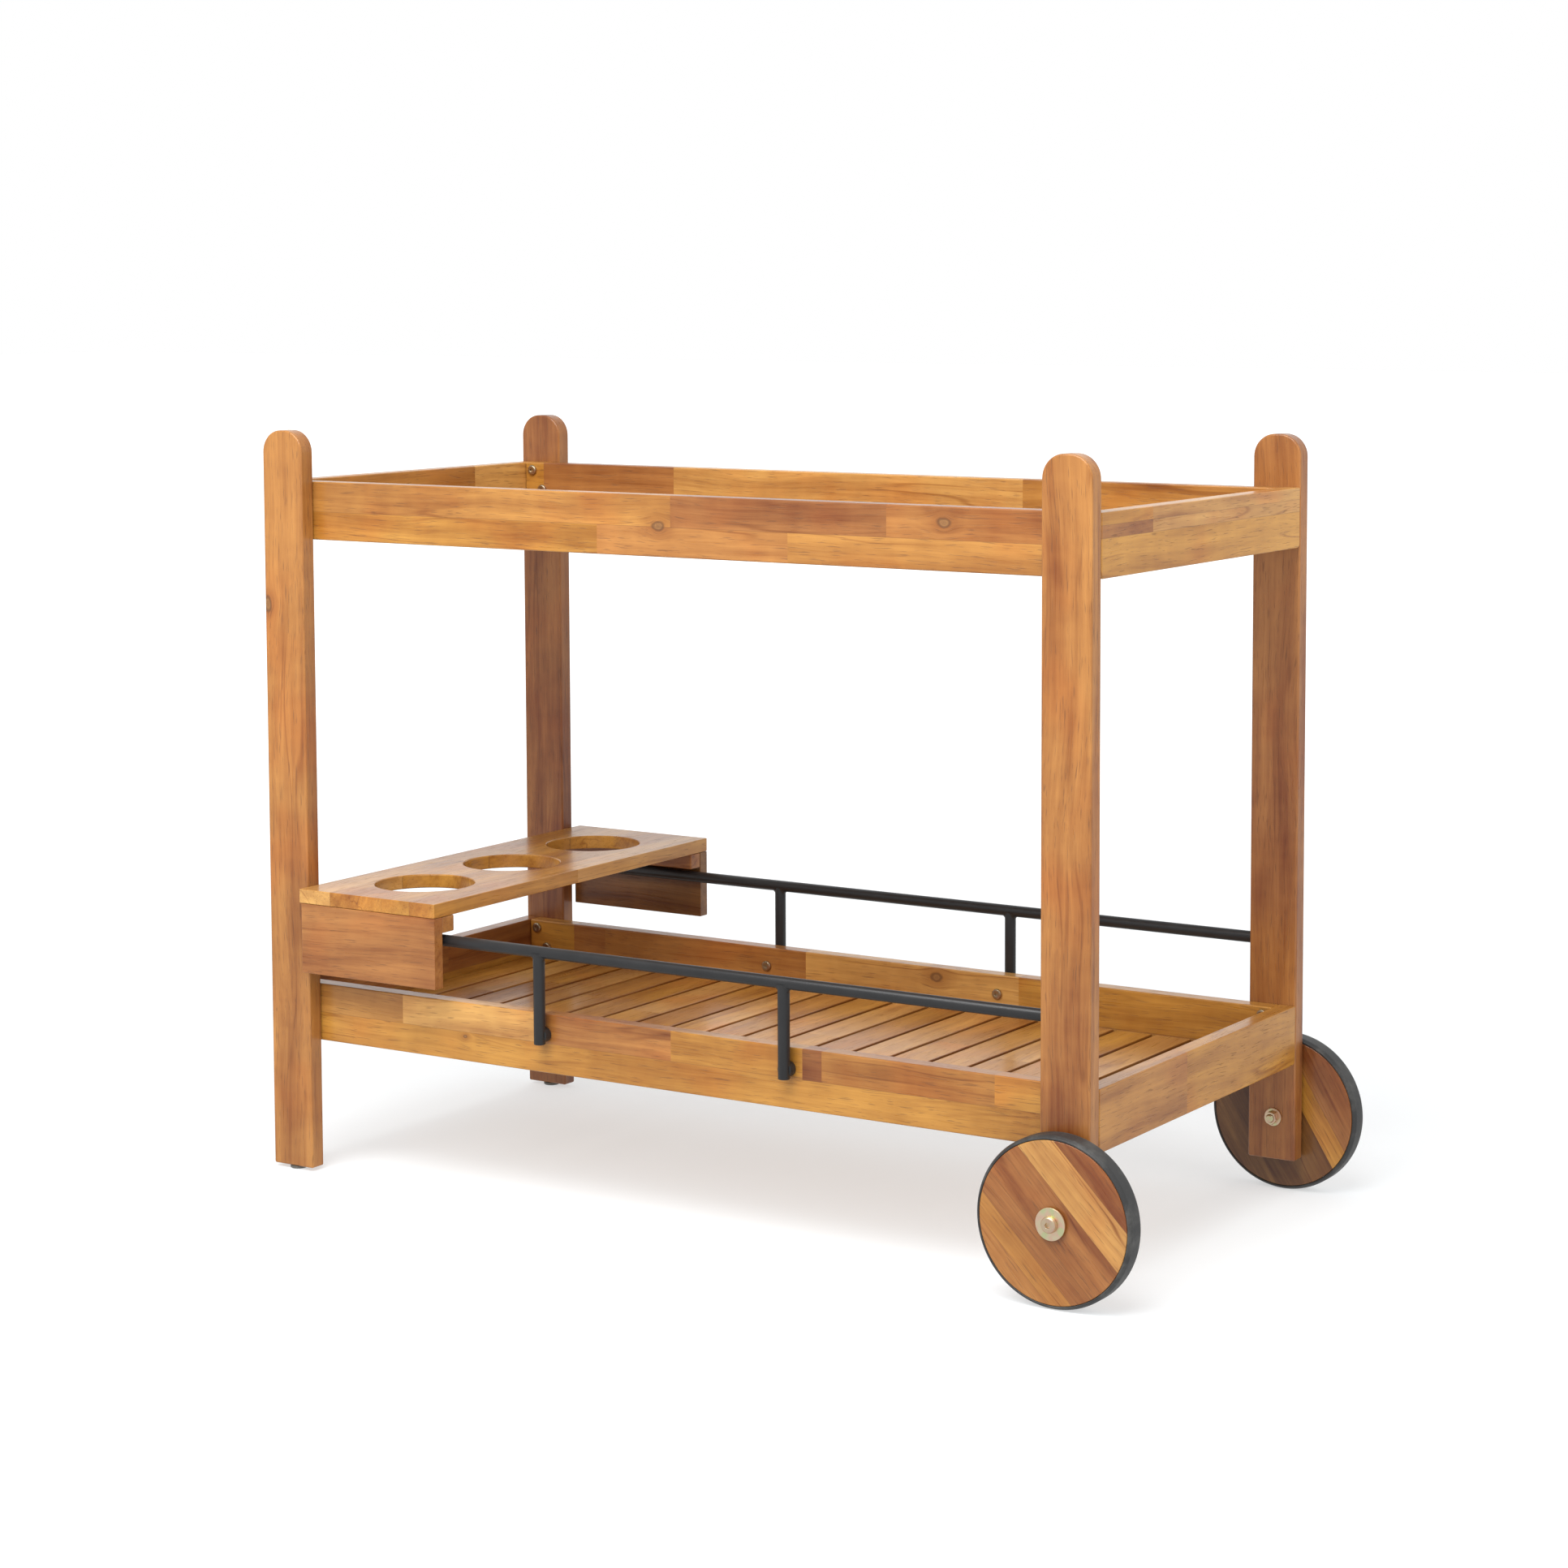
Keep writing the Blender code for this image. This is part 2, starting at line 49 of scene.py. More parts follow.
# Camera: 80 mm lens on a 36 mm sensor, at the height and angle of the product view.
CAMERA_PLACE = (2.1074, -3.2532, 1.0282)
CAMERA_TURN = (84.87, 0.07, 31.41)
CAMERA_LENS = 80.09
CAMERA_SHIFT = (-0.0694, -0.1273)

# Sizes that the CAD part gives its pieces, in metres.
LEG_TOP_RADIUS = 0.025
RAIL_CORNER = 0.005
SLAT_COUNT = 21
SLAT_SPACING = 0.005
SLAT_THICKNESS = 0.009
BEARER_DEPTH = 0.018
BEARER_END_GAP = 0.001
RACK_HOLE_RADIUS = 0.057
RACK_HOLE_PITCH = 0.162
BAR_RADIUS = 0.0065
STUB_RADIUS = 0.0085
AXLE_BORE = 0.0043
NUT_FLAT_RADIUS = 0.0065

# Socket screws and bolts: head radius and height, socket radius and depth, shank radius.
SCREW_SIZES = (0.0062, 0.003, 0.0022, 0.0016, 0.0025)
BOLT_HEAD_HEIGHT = 0.005
BOLT_SOCKET = 0.0030
BOLT_SHANK = 0.004
THREAD_PITCH = 0.00125
THREAD_DEPTH = 0.0006
THREAD_TURNS = 8
HEX_SECTOR = math.pi / 3

# Half the thickness of a 20 mm board: local Z of the face that shows, where its knots sit.
BOARD_FACE = 0.01

# How far each kind of edge is rounded.
LEG_EASE = 0.0022
RAIL_EASE = 0.0016
SLAT_EASE = 0.0012
BEARER_EASE = 0.001
RACK_TOP_EASE = 0.0009
RACK_HOLE_EASE = 0.0016
RACK_SIDE_EASE = 0.0010
RACK_CLEAT_EASE = 0.0012

# Edges that turn by less than this many degrees are shaded smooth.
SMOOTH_ANGLE = 35.0

# Light: the surroundings as surfaces receive them, the floor's own glow, and the lit backdrop.
ROOM_LIGHT = 0.68
FLOOR_GLOW = 0.54
SWEEP_DIRECTION = (-0.54, 0.84, 0.08)
DARK_STUDIO = 0.62

# Tones of oiled acacia, from pale to dark, as linear colours.
TONES = {
    "straw": (0.530, 0.272, 0.075),
    "gold": (0.425, 0.184, 0.024),
    "honey": (0.375, 0.151, 0.028),
    "amber": (0.340, 0.124, 0.028),
    "copper": (0.285, 0.091, 0.023),
    "russet": (0.238, 0.068, 0.017),
    "walnut": (0.150, 0.049, 0.013),
    "umber": (0.108, 0.032, 0.009),
}
PORE_COLOUR = (0.080, 0.030, 0.012)
GLUE_LINE_COLOUR = (0.10, 0.042, 0.016)
NO_KNOT = ((9.0, 9.0, 9.0), 0.0)

# The two blocks of each slat, in turn. The lower tray's paler tones are partly the wood's own and
# partly painted light, where the lamps leave the lower tray dim.
LOWER_SLAT_TONES_AND_LIGHT = (
    ("straw", "gold"),
    ("gold", "straw"),
    ("honey", "gold"),
    ("straw", "straw"),
    ("gold", "honey"),
)
UPPER_SLAT_TONES = (
    ("gold", "honey"),
    ("amber", "honey"),
    ("honey", "amber"),
    ("copper", "honey"),
    ("honey", "amber"),
)


# --- Node trees


class Tree:
    """A short way to write shader nodes."""

    def __init__(self, tree):
        self.tree = tree

    def node(self, kind, **settings):
        made = self.tree.nodes.new(kind)
        for key, value in settings.items():
            setattr(made, key, value)
        return made

    def feed(self, socket, value):
        if isinstance(value, bpy.types.NodeSocket):
            self.tree.links.new(value, socket)
        elif value is not None:
            socket.default_value = value

    def math(self, operation, first, second=None, third=None, clamp=False):
        made = self.node("ShaderNodeMath", operation=operation, use_clamp=clamp)
        for socket, value in zip(made.inputs, (first, second, third)):
            self.feed(socket, value)
        return made.outputs[0]

    def vector(self, operation, first, second=None, scale=None):
        made = self.node("ShaderNodeVectorMath", operation=operation)
        self.feed(made.inputs[0], first)
        self.feed(made.inputs[1], second)
        if scale is not None:
            self.feed(made.inputs["Scale"], scale)
        return made.outputs["Value"] if operation == "LENGTH" else made.outputs["Vector"]

    def noise(self, place, scale=1.0, detail=2.0, roughness=0.5, dimensions="3D"):
        made = self.node("ShaderNodeTexNoise", noise_dimensions=dimensions)
        self.feed(made.inputs["W" if dimensions == "1D" else "Vector"], place)
        for name, value in (("Scale", scale), ("Detail", detail), ("Roughness", roughness)):
            self.feed(made.inputs[name], value)
        return made.outputs

    def noise_1d(self, along, detail=2.0, roughness=0.5):
        return self.noise(along, 1.0, detail, roughness, "1D")["Fac"]

    def object_place(self):
        """The place on the piece, in its own coordinates."""
        return self.node("ShaderNodeTexCoord").outputs["Object"]

    def split(self, vector):
        made = self.node("ShaderNodeSeparateXYZ")
        self.feed(made.inputs[0], vector)
        return made.outputs

    def join(self, x=0.0, y=0.0, z=0.0):
        made = self.node("ShaderNodeCombineXYZ")
        for socket, value in zip(made.inputs, (x, y, z)):
            self.feed(socket, value)
        return made.outputs[0]

    def stretch(self, vector, scale):
        return self.vector("MULTIPLY", vector, scale)

    def grain_noise(self, place, scale, detail=3.0, roughness=0.6):
        """Noise with its own scale along each axis, so that it draws out along the grain."""
        return self.noise(self.stretch(place, scale), 1.0, detail, roughness)

    def away_from_middle(self, noise, share, base, clamp=False):
        """Add a share of a noise that swings round one half."""
        swing = self.math("SUBTRACT", noise, 0.5)
        return self.math("MULTIPLY_ADD", swing, share, base, clamp=clamp)

    def bump(self, shader, height, strength, distance):
        made = self.node("ShaderNodeBump")
        made.inputs["Strength"].default_value = strength
        made.inputs["Distance"].default_value = distance
        self.feed(made.inputs["Height"], height)
        self.feed(shader.inputs["Normal"], made.outputs["Normal"])

    def between(self, value, low, high, to_low=0.0, to_high=1.0, smooth=True):
        made = self.node("ShaderNodeMapRange")
        made.interpolation_type = "SMOOTHSTEP" if smooth else "LINEAR"
        names = ("Value", "From Min", "From Max", "To Min", "To Max")
        for name, given in zip(names, (value, low, high, to_low, to_high)):
            self.feed(made.inputs[name], given)
        return made.outputs["Result"]

    def mix(self, share, first, second, blend="MIX"):
        made = self.node("ShaderNodeMix", data_type="RGBA", blend_type=blend)
        self.feed(made.inputs["Factor"], share)
        sockets = {socket.identifier: socket for socket in made.inputs}
        self.feed(sockets["A_Color"], colour(first))
        self.feed(sockets["B_Color"], colour(second))
        return [out for out in made.outputs if out.type == "RGBA"][0]


def colour(value):
    """A colour as Blender wants it; a socket passes through."""
    if isinstance(value, bpy.types.NodeSocket) or value is None:
        return value
    return (*value, 1.0) if len(value) == 3 else tuple(value)


def new_material(name):
    """An empty node material with a Principled shader."""
    made = bpy.data.materials.new(name)
    made.use_nodes = True
    return made, Tree(made.node_tree), made.node_tree.nodes["Principled BSDF"]


# --- Acacia


def grain_group():
    """The grain of one block of acacia: rings, fibres, pores, slow colour drift, and knots."""
    group = bpy.data.node_groups.new("acacia_grain", "ShaderNodeTree")
    for name, kind in (
        ("Place", "NodeSocketVector"),
        ("Tone", "NodeSocketColor"),
        ("Seed", "NodeSocketFloat"),
        ("Figure", "NodeSocketFloat"),
        ("Knot", "NodeSocketVector"),
        ("Knot size", "NodeSocketFloat"),
        ("Veins", "NodeSocketFloat"),
    ):
        group.interface.new_socket(name, in_out="INPUT", socket_type=kind)
    for name, kind in (
        ("Colour", "NodeSocketColor"),
        ("Roughness", "NodeSocketFloat"),
        ("Height", "NodeSocketFloat"),
    ):
        group.interface.new_socket(name, in_out="OUTPUT", socket_type=kind)
    tree = Tree(group)
    given = tree.node("NodeGroupInput").outputs
    seed = given["Seed"]

    # Each block is cut from another place in another trunk.
    random = tree.node("ShaderNodeTexWhiteNoise", noise_dimensions="1D")
    tree.feed(random.inputs["W"], seed)
    dice = tree.split(random.outputs["Color"])
    away = tree.vector("SCALE", random.outputs["Color"], scale=9.0)
    place = tree.vector("ADD", given["Place"], away)

    # A knot pushes the grain lines round itself.
    to_knot = tree.vector("SUBTRACT", given["Place"], given["Knot"])
    knot_size = given["Knot size"]
    flat = tree.split(tree.stretch(to_knot, (0.62, 1.0, 1.0)))
    flat_distance = tree.vector("LENGTH", tree.join(flat[0], flat[1], 0.0))
    wobble = tree.noise(place, 90.0, 2.0)["Fac"]
    wobbly = tree.math("MULTIPLY_ADD", wobble, 0.004, tree.math("SUBTRACT", flat_distance, 0.002))
    reach = tree.math("DIVIDE", wobbly, tree.math("MAXIMUM", knot_size, 0.0001))
    near_knot = tree.between(reach, 1.0, 4.2, 1.0, 0.0)
    knot_core = tree.between(reach, 0.55, 1.15, 1.0, 0.0)

    # The fibres sway a little along the board.
    sway = tree.grain_noise(place, (3.6, 9.0, 9.0), 1.5, 0.45)["Color"]
    sway = tree.stretch(tree.vector("SUBTRACT", sway, (0.5, 0.5, 0.5)), (0.0, 0.030, 0.030))
    push = tree.math("MULTIPLY", near_knot, -0.006)
    push = tree.vector("SCALE", tree.vector("NORMALIZE", to_knot), scale=push)
    place = tree.vector("ADD", tree.vector("ADD", place, sway), push)

    # Growth rings are shells round a pith that runs beside the block.
    warp = tree.grain_noise(place, (1.7, 8.0, 8.0), 2.0, 0.45)["Color"]
    warp = tree.vector("SCALE", tree.vector("SUBTRACT", warp, (0.5, 0.5, 0.5)), scale=0.075)
    local = tree.split(tree.vector("ADD", given["Place"], warp))
    pith_y = tree.math("MULTIPLY_ADD", dice[0], 0.15, -0.075)
    pith_z = tree.math("MULTIPLY_ADD", dice[1], -0.10, -0.012)
    off_y = tree.math("SUBTRACT", local[1], pith_y)
    off_z = tree.math("SUBTRACT", local[2], pith_z)
    shell = tree.vector("LENGTH", tree.join(0.0, off_y, off_z))
    bulge = tree.math("MULTIPLY", near_knot, tree.math("MULTIPLY", knot_size, 0.9))
    shell = tree.math("ADD", shell, bulge)
    ring_at = tree.math("MULTIPLY_ADD", shell, 230.0, tree.math("MULTIPLY", dice[2], 50.0))
    rings = tree.noise_1d(ring_at, 2.5, 0.55)
    rings = tree.between(rings, 0.30, 0.72)

    # Fine fibres, slow drift of tone, streaks between the two, cross figure, pores and red mottle.
    fibres = tree.grain_noise(place, (5.0, 330.0, 330.0))["Fac"]
    drift = tree.grain_noise(place, (3.4, 24.0, 24.0), roughness=0.55)["Fac"]
    streaks = tree.grain_noise(place, (4.5, 105.0, 105.0))["Fac"]
    figure = tree.grain_noise(place, (46.0, 26.0, 26.0), 2.0, 0.5)["Fac"]
    pores = tree.grain_noise(place, (38.0, 780.0, 780.0), 1.0, 0.5)["Fac"]
    pores = tree.between(pores, 0.61, 0.72)
    mottle = tree.grain_noise(place, (9.0, 11.0, 11.0), 2.0, 0.5)["Fac"]

    # Dark veins run where one noise crosses its middle, in some places only.
    vein = tree.grain_noise(place, (3.0, 52.0, 52.0), 1.0, 0.5)["Fac"]
    vein = tree.math("ABSOLUTE", tree.math("SUBTRACT", vein, 0.5))
    vein = tree.between(vein, 0.0, 0.034, 1.0, 0.0)
    where = tree.grain_noise(place, (6.0, 30.0, 30.0), 1.0, 0.5)["Fac"]
    vein = tree.math("MULTIPLY", vein, tree.between(where, 0.50, 0.66))

    # Some blocks show their rings clearly, and most hardly at all.
    clear = tree.between(dice[2], 0.35, 1.0, 0.25, 1.0)
    ring_part = tree.math("MULTIPLY", given["Figure"], clear)
    level = tree.away_from_middle(rings, ring_part, 0.55)
    level = tree.away_from_middle(fibres, 0.52, level)
    level = tree.away_from_middle(drift, 1.85, level)
    level = tree.away_from_middle(streaks, 0.72, level)
    level = tree.away_from_middle(figure, 0.34, level, clamp=True)

    dark = tree.mix(1.0, given["Tone"], (0.52, 0.40, 0.36), "MULTIPLY")
    light = tree.mix(1.0, given["Tone"], (0.98, 0.98, 0.96), "MULTIPLY")
    light = tree.mix(1.0, light, (0.110, 0.074, 0.022), "ADD")
    shade = tree.mix(level, dark, light)
    redder = tree.mix(1.0, shade, (1.0, 0.80, 0.66), "MULTIPLY")
    shade = tree.mix(tree.between(mottle, 0.48, 0.75, 0.0, 0.75), shade, redder)
    veined = tree.mix(1.0, shade, (0.50, 0.34, 0.26), "MULTIPLY")
    shade = tree.mix(tree.math("MULTIPLY", vein, given["Veins"]), shade, veined)
    shade = tree.mix(tree.math("MULTIPLY", pores, 0.42), shade, PORE_COLOUR)

    # A knot is ringed, with a dark rim and a halo in the wood round it.
    knot_ring = tree.noise_1d(tree.math("MULTIPLY", reach, 5.5), 1.0)
    knot_ring = tree.math("MULTIPLY", tree.between(knot_ring, 0.40, 0.62), 0.35)
    rim = tree.between(reach, 0.36, 0.86)
    ringed = tree.mix(knot_ring, (0.27, 0.125, 0.040), (0.10, 0.040, 0.016))
    ringed = tree.mix(rim, ringed, (0.085, 0.032, 0.013))
    halo = tree.math("MULTIPLY", tree.math("POWER", near_knot, 2.2), 0.55)
    halo_shade = tree.mix(1.0, shade, (0.62, 0.46, 0.40), "MULTIPLY")
    has_knot = tree.math("GREATER_THAN", knot_size, 0.0005)
    shade = tree.mix(tree.math("MULTIPLY", halo, has_knot), shade, halo_shade)
    shade = tree.mix(tree.math("MULTIPLY", knot_core, has_knot), shade, ringed)

    rough = tree.math("MULTIPLY_ADD", fibres, 0.16, 0.22)
    rough = tree.math("MULTIPLY_ADD", pores, 0.18, rough)
    height = tree.math("MULTIPLY_ADD", fibres, 0.55, tree.math("MULTIPLY", rings, 0.30))
    height = tree.math("MULTIPLY_ADD", pores, -0.8, height)

    out = tree.node("NodeGroupOutput")
    tree.feed(out.inputs["Colour"], shade)
    tree.feed(out.inputs["Roughness"], rough)
    tree.feed(out.inputs["Height"], height)
    return group


GRAIN = grain_group()


def block_ramp(tree, along, length, blocks, blend=False):
    """The tone of one lamella: blocks are (share of the length where it ends, tone).

    blend fades each block into the next.
    """
    ramp = tree.node("ShaderNodeValToRGB")
    share = tree.math("DIVIDE", along, length)
    share = tree.math("ADD", share, 0.5)
    tree.feed(ramp.inputs["Fac"], share)
    band = ramp.color_ramp
    band.interpolation = "LINEAR" if blend else "CONSTANT"
    band.elements[0].position = 0.0
    band.elements[0].color = colour(TONES[blocks[0][1]])
    band.elements[1].position = 1.0
    band.elements[1].color = colour(TONES[blocks[-1][1]])
    for (end, _), (_, tone) in zip(blocks, blocks[1:]):
        band.elements.new(end).color = colour(TONES[tone])
    return ramp.outputs["Color"]


def choose_knot(tree, along, knots):
    """The place and size of the knot nearest along the board; knots are (x, y, z, size)."""
    place, size = tuple(knots[0][:3]), knots[0][3]
    for before, after in zip(knots, knots[1:]):
        past = tree.math("GREATER_THAN", along, (before[0] + after[0]) / 2)
        place = tree.mix(past, place, tuple(after[:3]))
        size = tree.math("MULTIPLY_ADD", past, after[3] - before[3], size)
    return place, size


def acacia(
    name,
    length,
    lamellae,
    seed,
    figure=0.2,
    knots=(),
    veins=0.6,
    turn=0.0,
    gap_shade_half_width=0.0,
    blend=False,
):
    """Oiled acacia made of edge-glued lamellae.

    lamellae is a list of (place across the board where it ends, blocks), from low to high.
    The grain runs along local X, or turned from it about local Z. Knots go from low to high X.
    A board's sides, past the half width given for them, are darkened: painted shade for the gaps
    between slats.
    blend makes one solid board whose tone changes slowly, in place of jointed blocks.
    """
    made, tree, shader = new_material(name)
    place = tree.object_place()
    if turn:
        rotate = tree.node("ShaderNodeVectorRotate", rotation_type="Z_AXIS")
        tree.feed(rotate.inputs["Vector"], place)
        rotate.inputs["Angle"].default_value = turn
        place = rotate.outputs["Vector"]
    parts = tree.split(place)
    across = parts[1]
    tone = block_ramp(tree, parts[0], length, lamellae[0][1], blend)
    number = seed
    edges = None
    for (end, _), (_, blocks) in zip(lamellae, lamellae[1:]):
        above = tree.math("GREATER_THAN", across, end)
        tone = tree.mix(above, tone, block_ramp(tree, parts[0], length, blocks))
        number = tree.math("MULTIPLY_ADD", above, 3.7, number)
        line = tree.math("ABSOLUTE", tree.math("SUBTRACT", across, end))
        line = tree.between(line, 0.0001, 0.0006, 1.0, 0.0)
        edges = line if edges is None else tree.math("MAXIMUM", edges, line)
    # Each block's own tone makes its own seed.
    if not blend:
        block = tree.node("ShaderNodeTexWhiteNoise", noise_dimensions="3D")
        tree.feed(block.inputs["Vector"], tree.vector("SCALE", tone, scale=731.0))
        number = tree.math("MULTIPLY_ADD", block.outputs["Value"], 97.0, number)
    grain = tree.node("ShaderNodeGroup", node_tree=GRAIN)
    tree.feed(grain.inputs["Place"], place)
    tree.feed(grain.inputs["Tone"], tone)
    tree.feed(grain.inputs["Seed"], number)
    grain.inputs["Figure"].default_value = figure
    grain.inputs["Veins"].default_value = veins
    knot_place, knot_size = choose_knot(tree, parts[0], knots) if knots else NO_KNOT
    tree.feed(grain.inputs["Knot"], knot_place)
    tree.feed(grain.inputs["Knot size"], knot_size)
    shade = grain.outputs["Colour"]
    # Painted shade: a board's sides darken towards its sawn faces, standing in for the shade in the
    # gaps between slats.
    if gap_shade_half_width:
        aside = tree.math("ABSOLUTE", across)
        side_shade_mask = tree.between(aside, gap_shade_half_width - 0.0014, gap_shade_half_width - 0.0002)
        shade = tree.mix(side_shade_mask, shade, tree.mix(1.0, shade, (0.50, 0.38, 0.30), "MULTIPLY"))
    if edges is not None:
        shade = tree.mix(tree.math("MULTIPLY", edges, 0.35), shade, GLUE_LINE_COLOUR)
    tree.feed(shader.inputs["Base Color"], shade)
    tree.feed(shader.inputs["Roughness"], grain.outputs["Roughness"])
    tree.bump(shader, grain.outputs["Height"], 0.35, 0.0004)
    shader.inputs["IOR"].default_value = 1.48
    shader.inputs["Coat Weight"].default_value = 0.22
    shader.inputs["Coat Roughness"].default_value = 0.16
    return made


# --- Metal, rubber and plastic


def black_steel():
    """Satin black powder coat with a fine orange-peel surface."""
    made, tree, shader = new_material("black_powder_coat")
    place = tree.object_place()
    peel = tree.noise(place, 1500.0, 2.0, 0.6)["Fac"]
    cloud = tree.noise(place, 22.0, 3.0, 0.6)["Fac"]
    shade = tree.mix(cloud, (0.013, 0.013, 0.014), (0.024, 0.024, 0.025))
    tree.feed(shader.inputs["Base Color"], shade)
    tree.feed(shader.inputs["Roughness"], tree.math("MULTIPLY_ADD", cloud, 0.14, 0.27))
    tree.bump(shader, peel, 0.28, 0.0002)
    shader.inputs["IOR"].default_value = 1.45
    return made


def yellow_zinc(name, warmth, shine=1.0):
    """Zinc plate with its faint pink and green passivation colours and turned scratches."""
    made, tree, shader = new_material(name)
    place = tree.object_place()
    parts = tree.split(place)
    radius = tree.vector("LENGTH", tree.join(parts[0], parts[1], 0.0))
    turned = tree.noise_1d(tree.math("MULTIPLY", radius, 5200.0), 3.0, 0.6)
    patches = tree.noise(place, 130.0, 2.0, 0.5)["Fac"]
    bands = tree.noise(tree.vector("ADD", place, (0.3, 0.1, 0.2)), 75.0, 1.0, 0.5)["Fac"]
    pale = tree.mix(warmth, (0.92, 0.79, 0.54), (0.98, 0.78, 0.54))
    shade = tree.mix(tree.between(patches, 0.42, 0.62), pale, (0.98, 0.70, 0.52))
    shade = tree.mix(tree.between(bands, 0.54, 0.68, 0.0, 0.8), shade, (0.76, 0.84, 0.46))
    shade = tree.mix(1.0, shade, (shine, shine, shine), "MULTIPLY")
    tree.feed(shader.inputs["Base Color"], shade)
    shader.inputs["Metallic"].default_value = 1.0
    tree.feed(shader.inputs["Roughness"], tree.math("MULTIPLY_ADD", turned, 0.16, 0.30))
    tree.bump(shader, turned, 0.15, 0.0001)
    return made


def tyre_rubber():
    """Matt black rubber, slightly dusty, with a moulded skin."""
    made, tree, shader = new_material("tyre_rubber")
    place = tree.object_place()
    skin = tree.noise(place, 900.0, 3.0, 0.65)["Fac"]
    dust = tree.noise(place, 38.0, 4.0, 0.62)["Fac"]
    shade = tree.mix(tree.between(dust, 0.45, 0.75), (0.028, 0.028, 0.028), (0.070, 0.069, 0.065))
    tree.feed(shader.inputs["Base Color"], shade)
    tree.feed(shader.inputs["Roughness"], tree.math("MULTIPLY_ADD", dust, 0.26, 0.36))
    tree.bump(shader, skin, 0.30, 0.0003)
    return made


def nylon():
    """Scuffed dark nylon of the glides."""
    made, tree, shader = new_material("glide_nylon")
    place = tree.object_place()
    scuffs = tree.noise(place, 420.0, 4.0, 0.7)["Fac"]
    shade = tree.mix(scuffs, (0.05, 0.045, 0.04), (0.16, 0.15, 0.13))
    tree.feed(shader.inputs["Base Color"], shade)
    tree.feed(shader.inputs["Roughness"], tree.math("MULTIPLY_ADD", scuffs, 0.3, 0.35))
    return made


STEEL = black_steel()
ZINC = yellow_zinc("yellow_zinc", 0.25)
ZINC_WARM = yellow_zinc("yellow_zinc_warm", 0.9, 0.85)
ZINC_DULL = yellow_zinc("yellow_zinc_dull", 0.6, 0.48)
RUBBER = tyre_rubber()
NYLON = nylon()


# --- Pieces


def axes(along, across, centre):
    """The matrix of a piece whose local X and Y lie along two world directions."""
    third = along.cross(across)
    turn = Matrix((along, across, third)).transposed().to_4x4()
    return Matrix.Translation(centre) @ turn


def new_piece(name, shape, matrix, material, nodes=(), body="cart", smooth_angle=SMOOTH_ANGLE):
    """Turn a bmesh in local coordinates into a piece that rides on a CAD body."""
    bmesh.ops.recalc_face_normals(shape, faces=shape.faces)
    mesh = bpy.data.meshes.new(name)
    shape.to_mesh(mesh)
    shape.free()
    mesh.shade_smooth()
    mesh.set_sharp_from_angle(angle=math.radians(smooth_angle))
    piece = bpy.data.objects.new(name, mesh)
    bpy.context.scene.collection.objects.link(piece)
    piece.matrix_world = matrix
    piece.data.materials.append(material)
    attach(piece, body)
    if nodes:
        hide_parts(*nodes)
    return piece


def box_shape(size):
    """A box round the origin."""
    shape = bmesh.new()
    bmesh.ops.create_cube(shape, size=1.0)
    bmesh.ops.scale(shape, vec=size, verts=shape.verts)
    return shape


def eased(shape, width, segments=4, angle=40.0):
    """Round every sharp edge of a shape, keeping the flats flat."""
    sharp = [edge for edge in shape.edges if edge.calc_face_angle(0.0) > math.radians(angle)]
    bmesh.ops.bevel(
        shape,
        geom=sharp,
        offset=width,
        segments=segments,
        profile=0.5,
        affect="EDGES",
        clamp_overlap=True,
    )
    return shape


def weighted(piece):
    """Keep the broad faces flat to the light beside their rounded edges."""
    modifier = piece.modifiers.new("flat faces", "WEIGHTED_NORMAL")
    modifier.keep_sharp = True
    modifier.weight = 100
    return piece


def node_box(node):
    """A CAD node's low corner, high corner, centre and size."""
    low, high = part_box(node)
    return low, high, (low + high) / 2, high - low


def circle(shape, radius, along, segments):
    """A loop of vertices round local Z."""
    loop = []
    for step in range(segments):
        angle = math.tau * step / segments
        loop.append(shape.verts.new((radius * math.cos(angle), radius * math.sin(angle), along)))
    return loop


def skin_loops(shape, loops):
    """Join loops of equal length, each to the next and the last to the first."""
    for first, second in zip(loops, loops[1:] + loops[:1]):
        for step in range(len(first)):
            following = (step + 1) % len(first)
            shape.faces.new((first[step], first[following], second[following], second[step]))
    return shape


def slab(outline, depth):
    """A flat outline in local X and Y, given depth along local Z."""
    shape = bmesh.new()
    face = shape.faces.new([shape.verts.new((x, y, -depth / 2)) for x, y in outline])
    grown = bmesh.ops.extrude_face_region(shape, geom=[face])
    moved = [item for item in grown["geom"] if isinstance(item, bmesh.types.BMVert)]
    bmesh.ops.translate(shape, verts=moved, vec=(0.0, 0.0, depth))
    bmesh.ops.recalc_face_normals(shape, faces=shape.faces)
    return shape


def quarter(centre, radius, start, steps):
    """Points of a quarter circle."""
    angles = [start + math.pi / 2 * step / steps for step in range(steps + 1)]
    return [
        (centre[0] + radius * math.cos(angle), centre[1] + radius * math.sin(angle))
        for angle in angles
    ]


def board(node, along, across, material, ease=RAIL_EASE):
    """A board in the place of a CAD node, its grain along one direction."""
    _, _, centre, size = node_box(node)
    third = along.cross(across)
    local = [abs(size.dot(direction)) for direction in (along, across, third)]
    shape = eased(box_shape(local), ease)
    return weighted(new_piece(node, shape, axes(along, across, centre), material, (node,)))


def turned_shape(profile, segments=64, closed=True):
    """Turn a (radius, along) profile round local Z into a solid."""
    shape = bmesh.new()
    rings = []
    for radius, along in profile:
        if radius < 1e-7:
            rings.append([shape.verts.new((0.0, 0.0, along))])
        else:
            rings.append(circle(shape, radius, along, segments))
    count = len(rings)
    for index in range(count if closed else count - 1):
        first, second = rings[index], rings[(index + 1) % count]
        if len(first) == 1 and len(second) == 1:
            continue
        for step in range(segments):
            following = (step + 1) % segments
            if len(first) == 1:
                shape.faces.new((first[0], second[step], second[following]))
            elif len(second) == 1:
                shape.faces.new((first[step], second[0], first[following]))
            else:
                corners = (first[step], second[step], second[following], first[following])
                shape.faces.new(corners)
    return shape


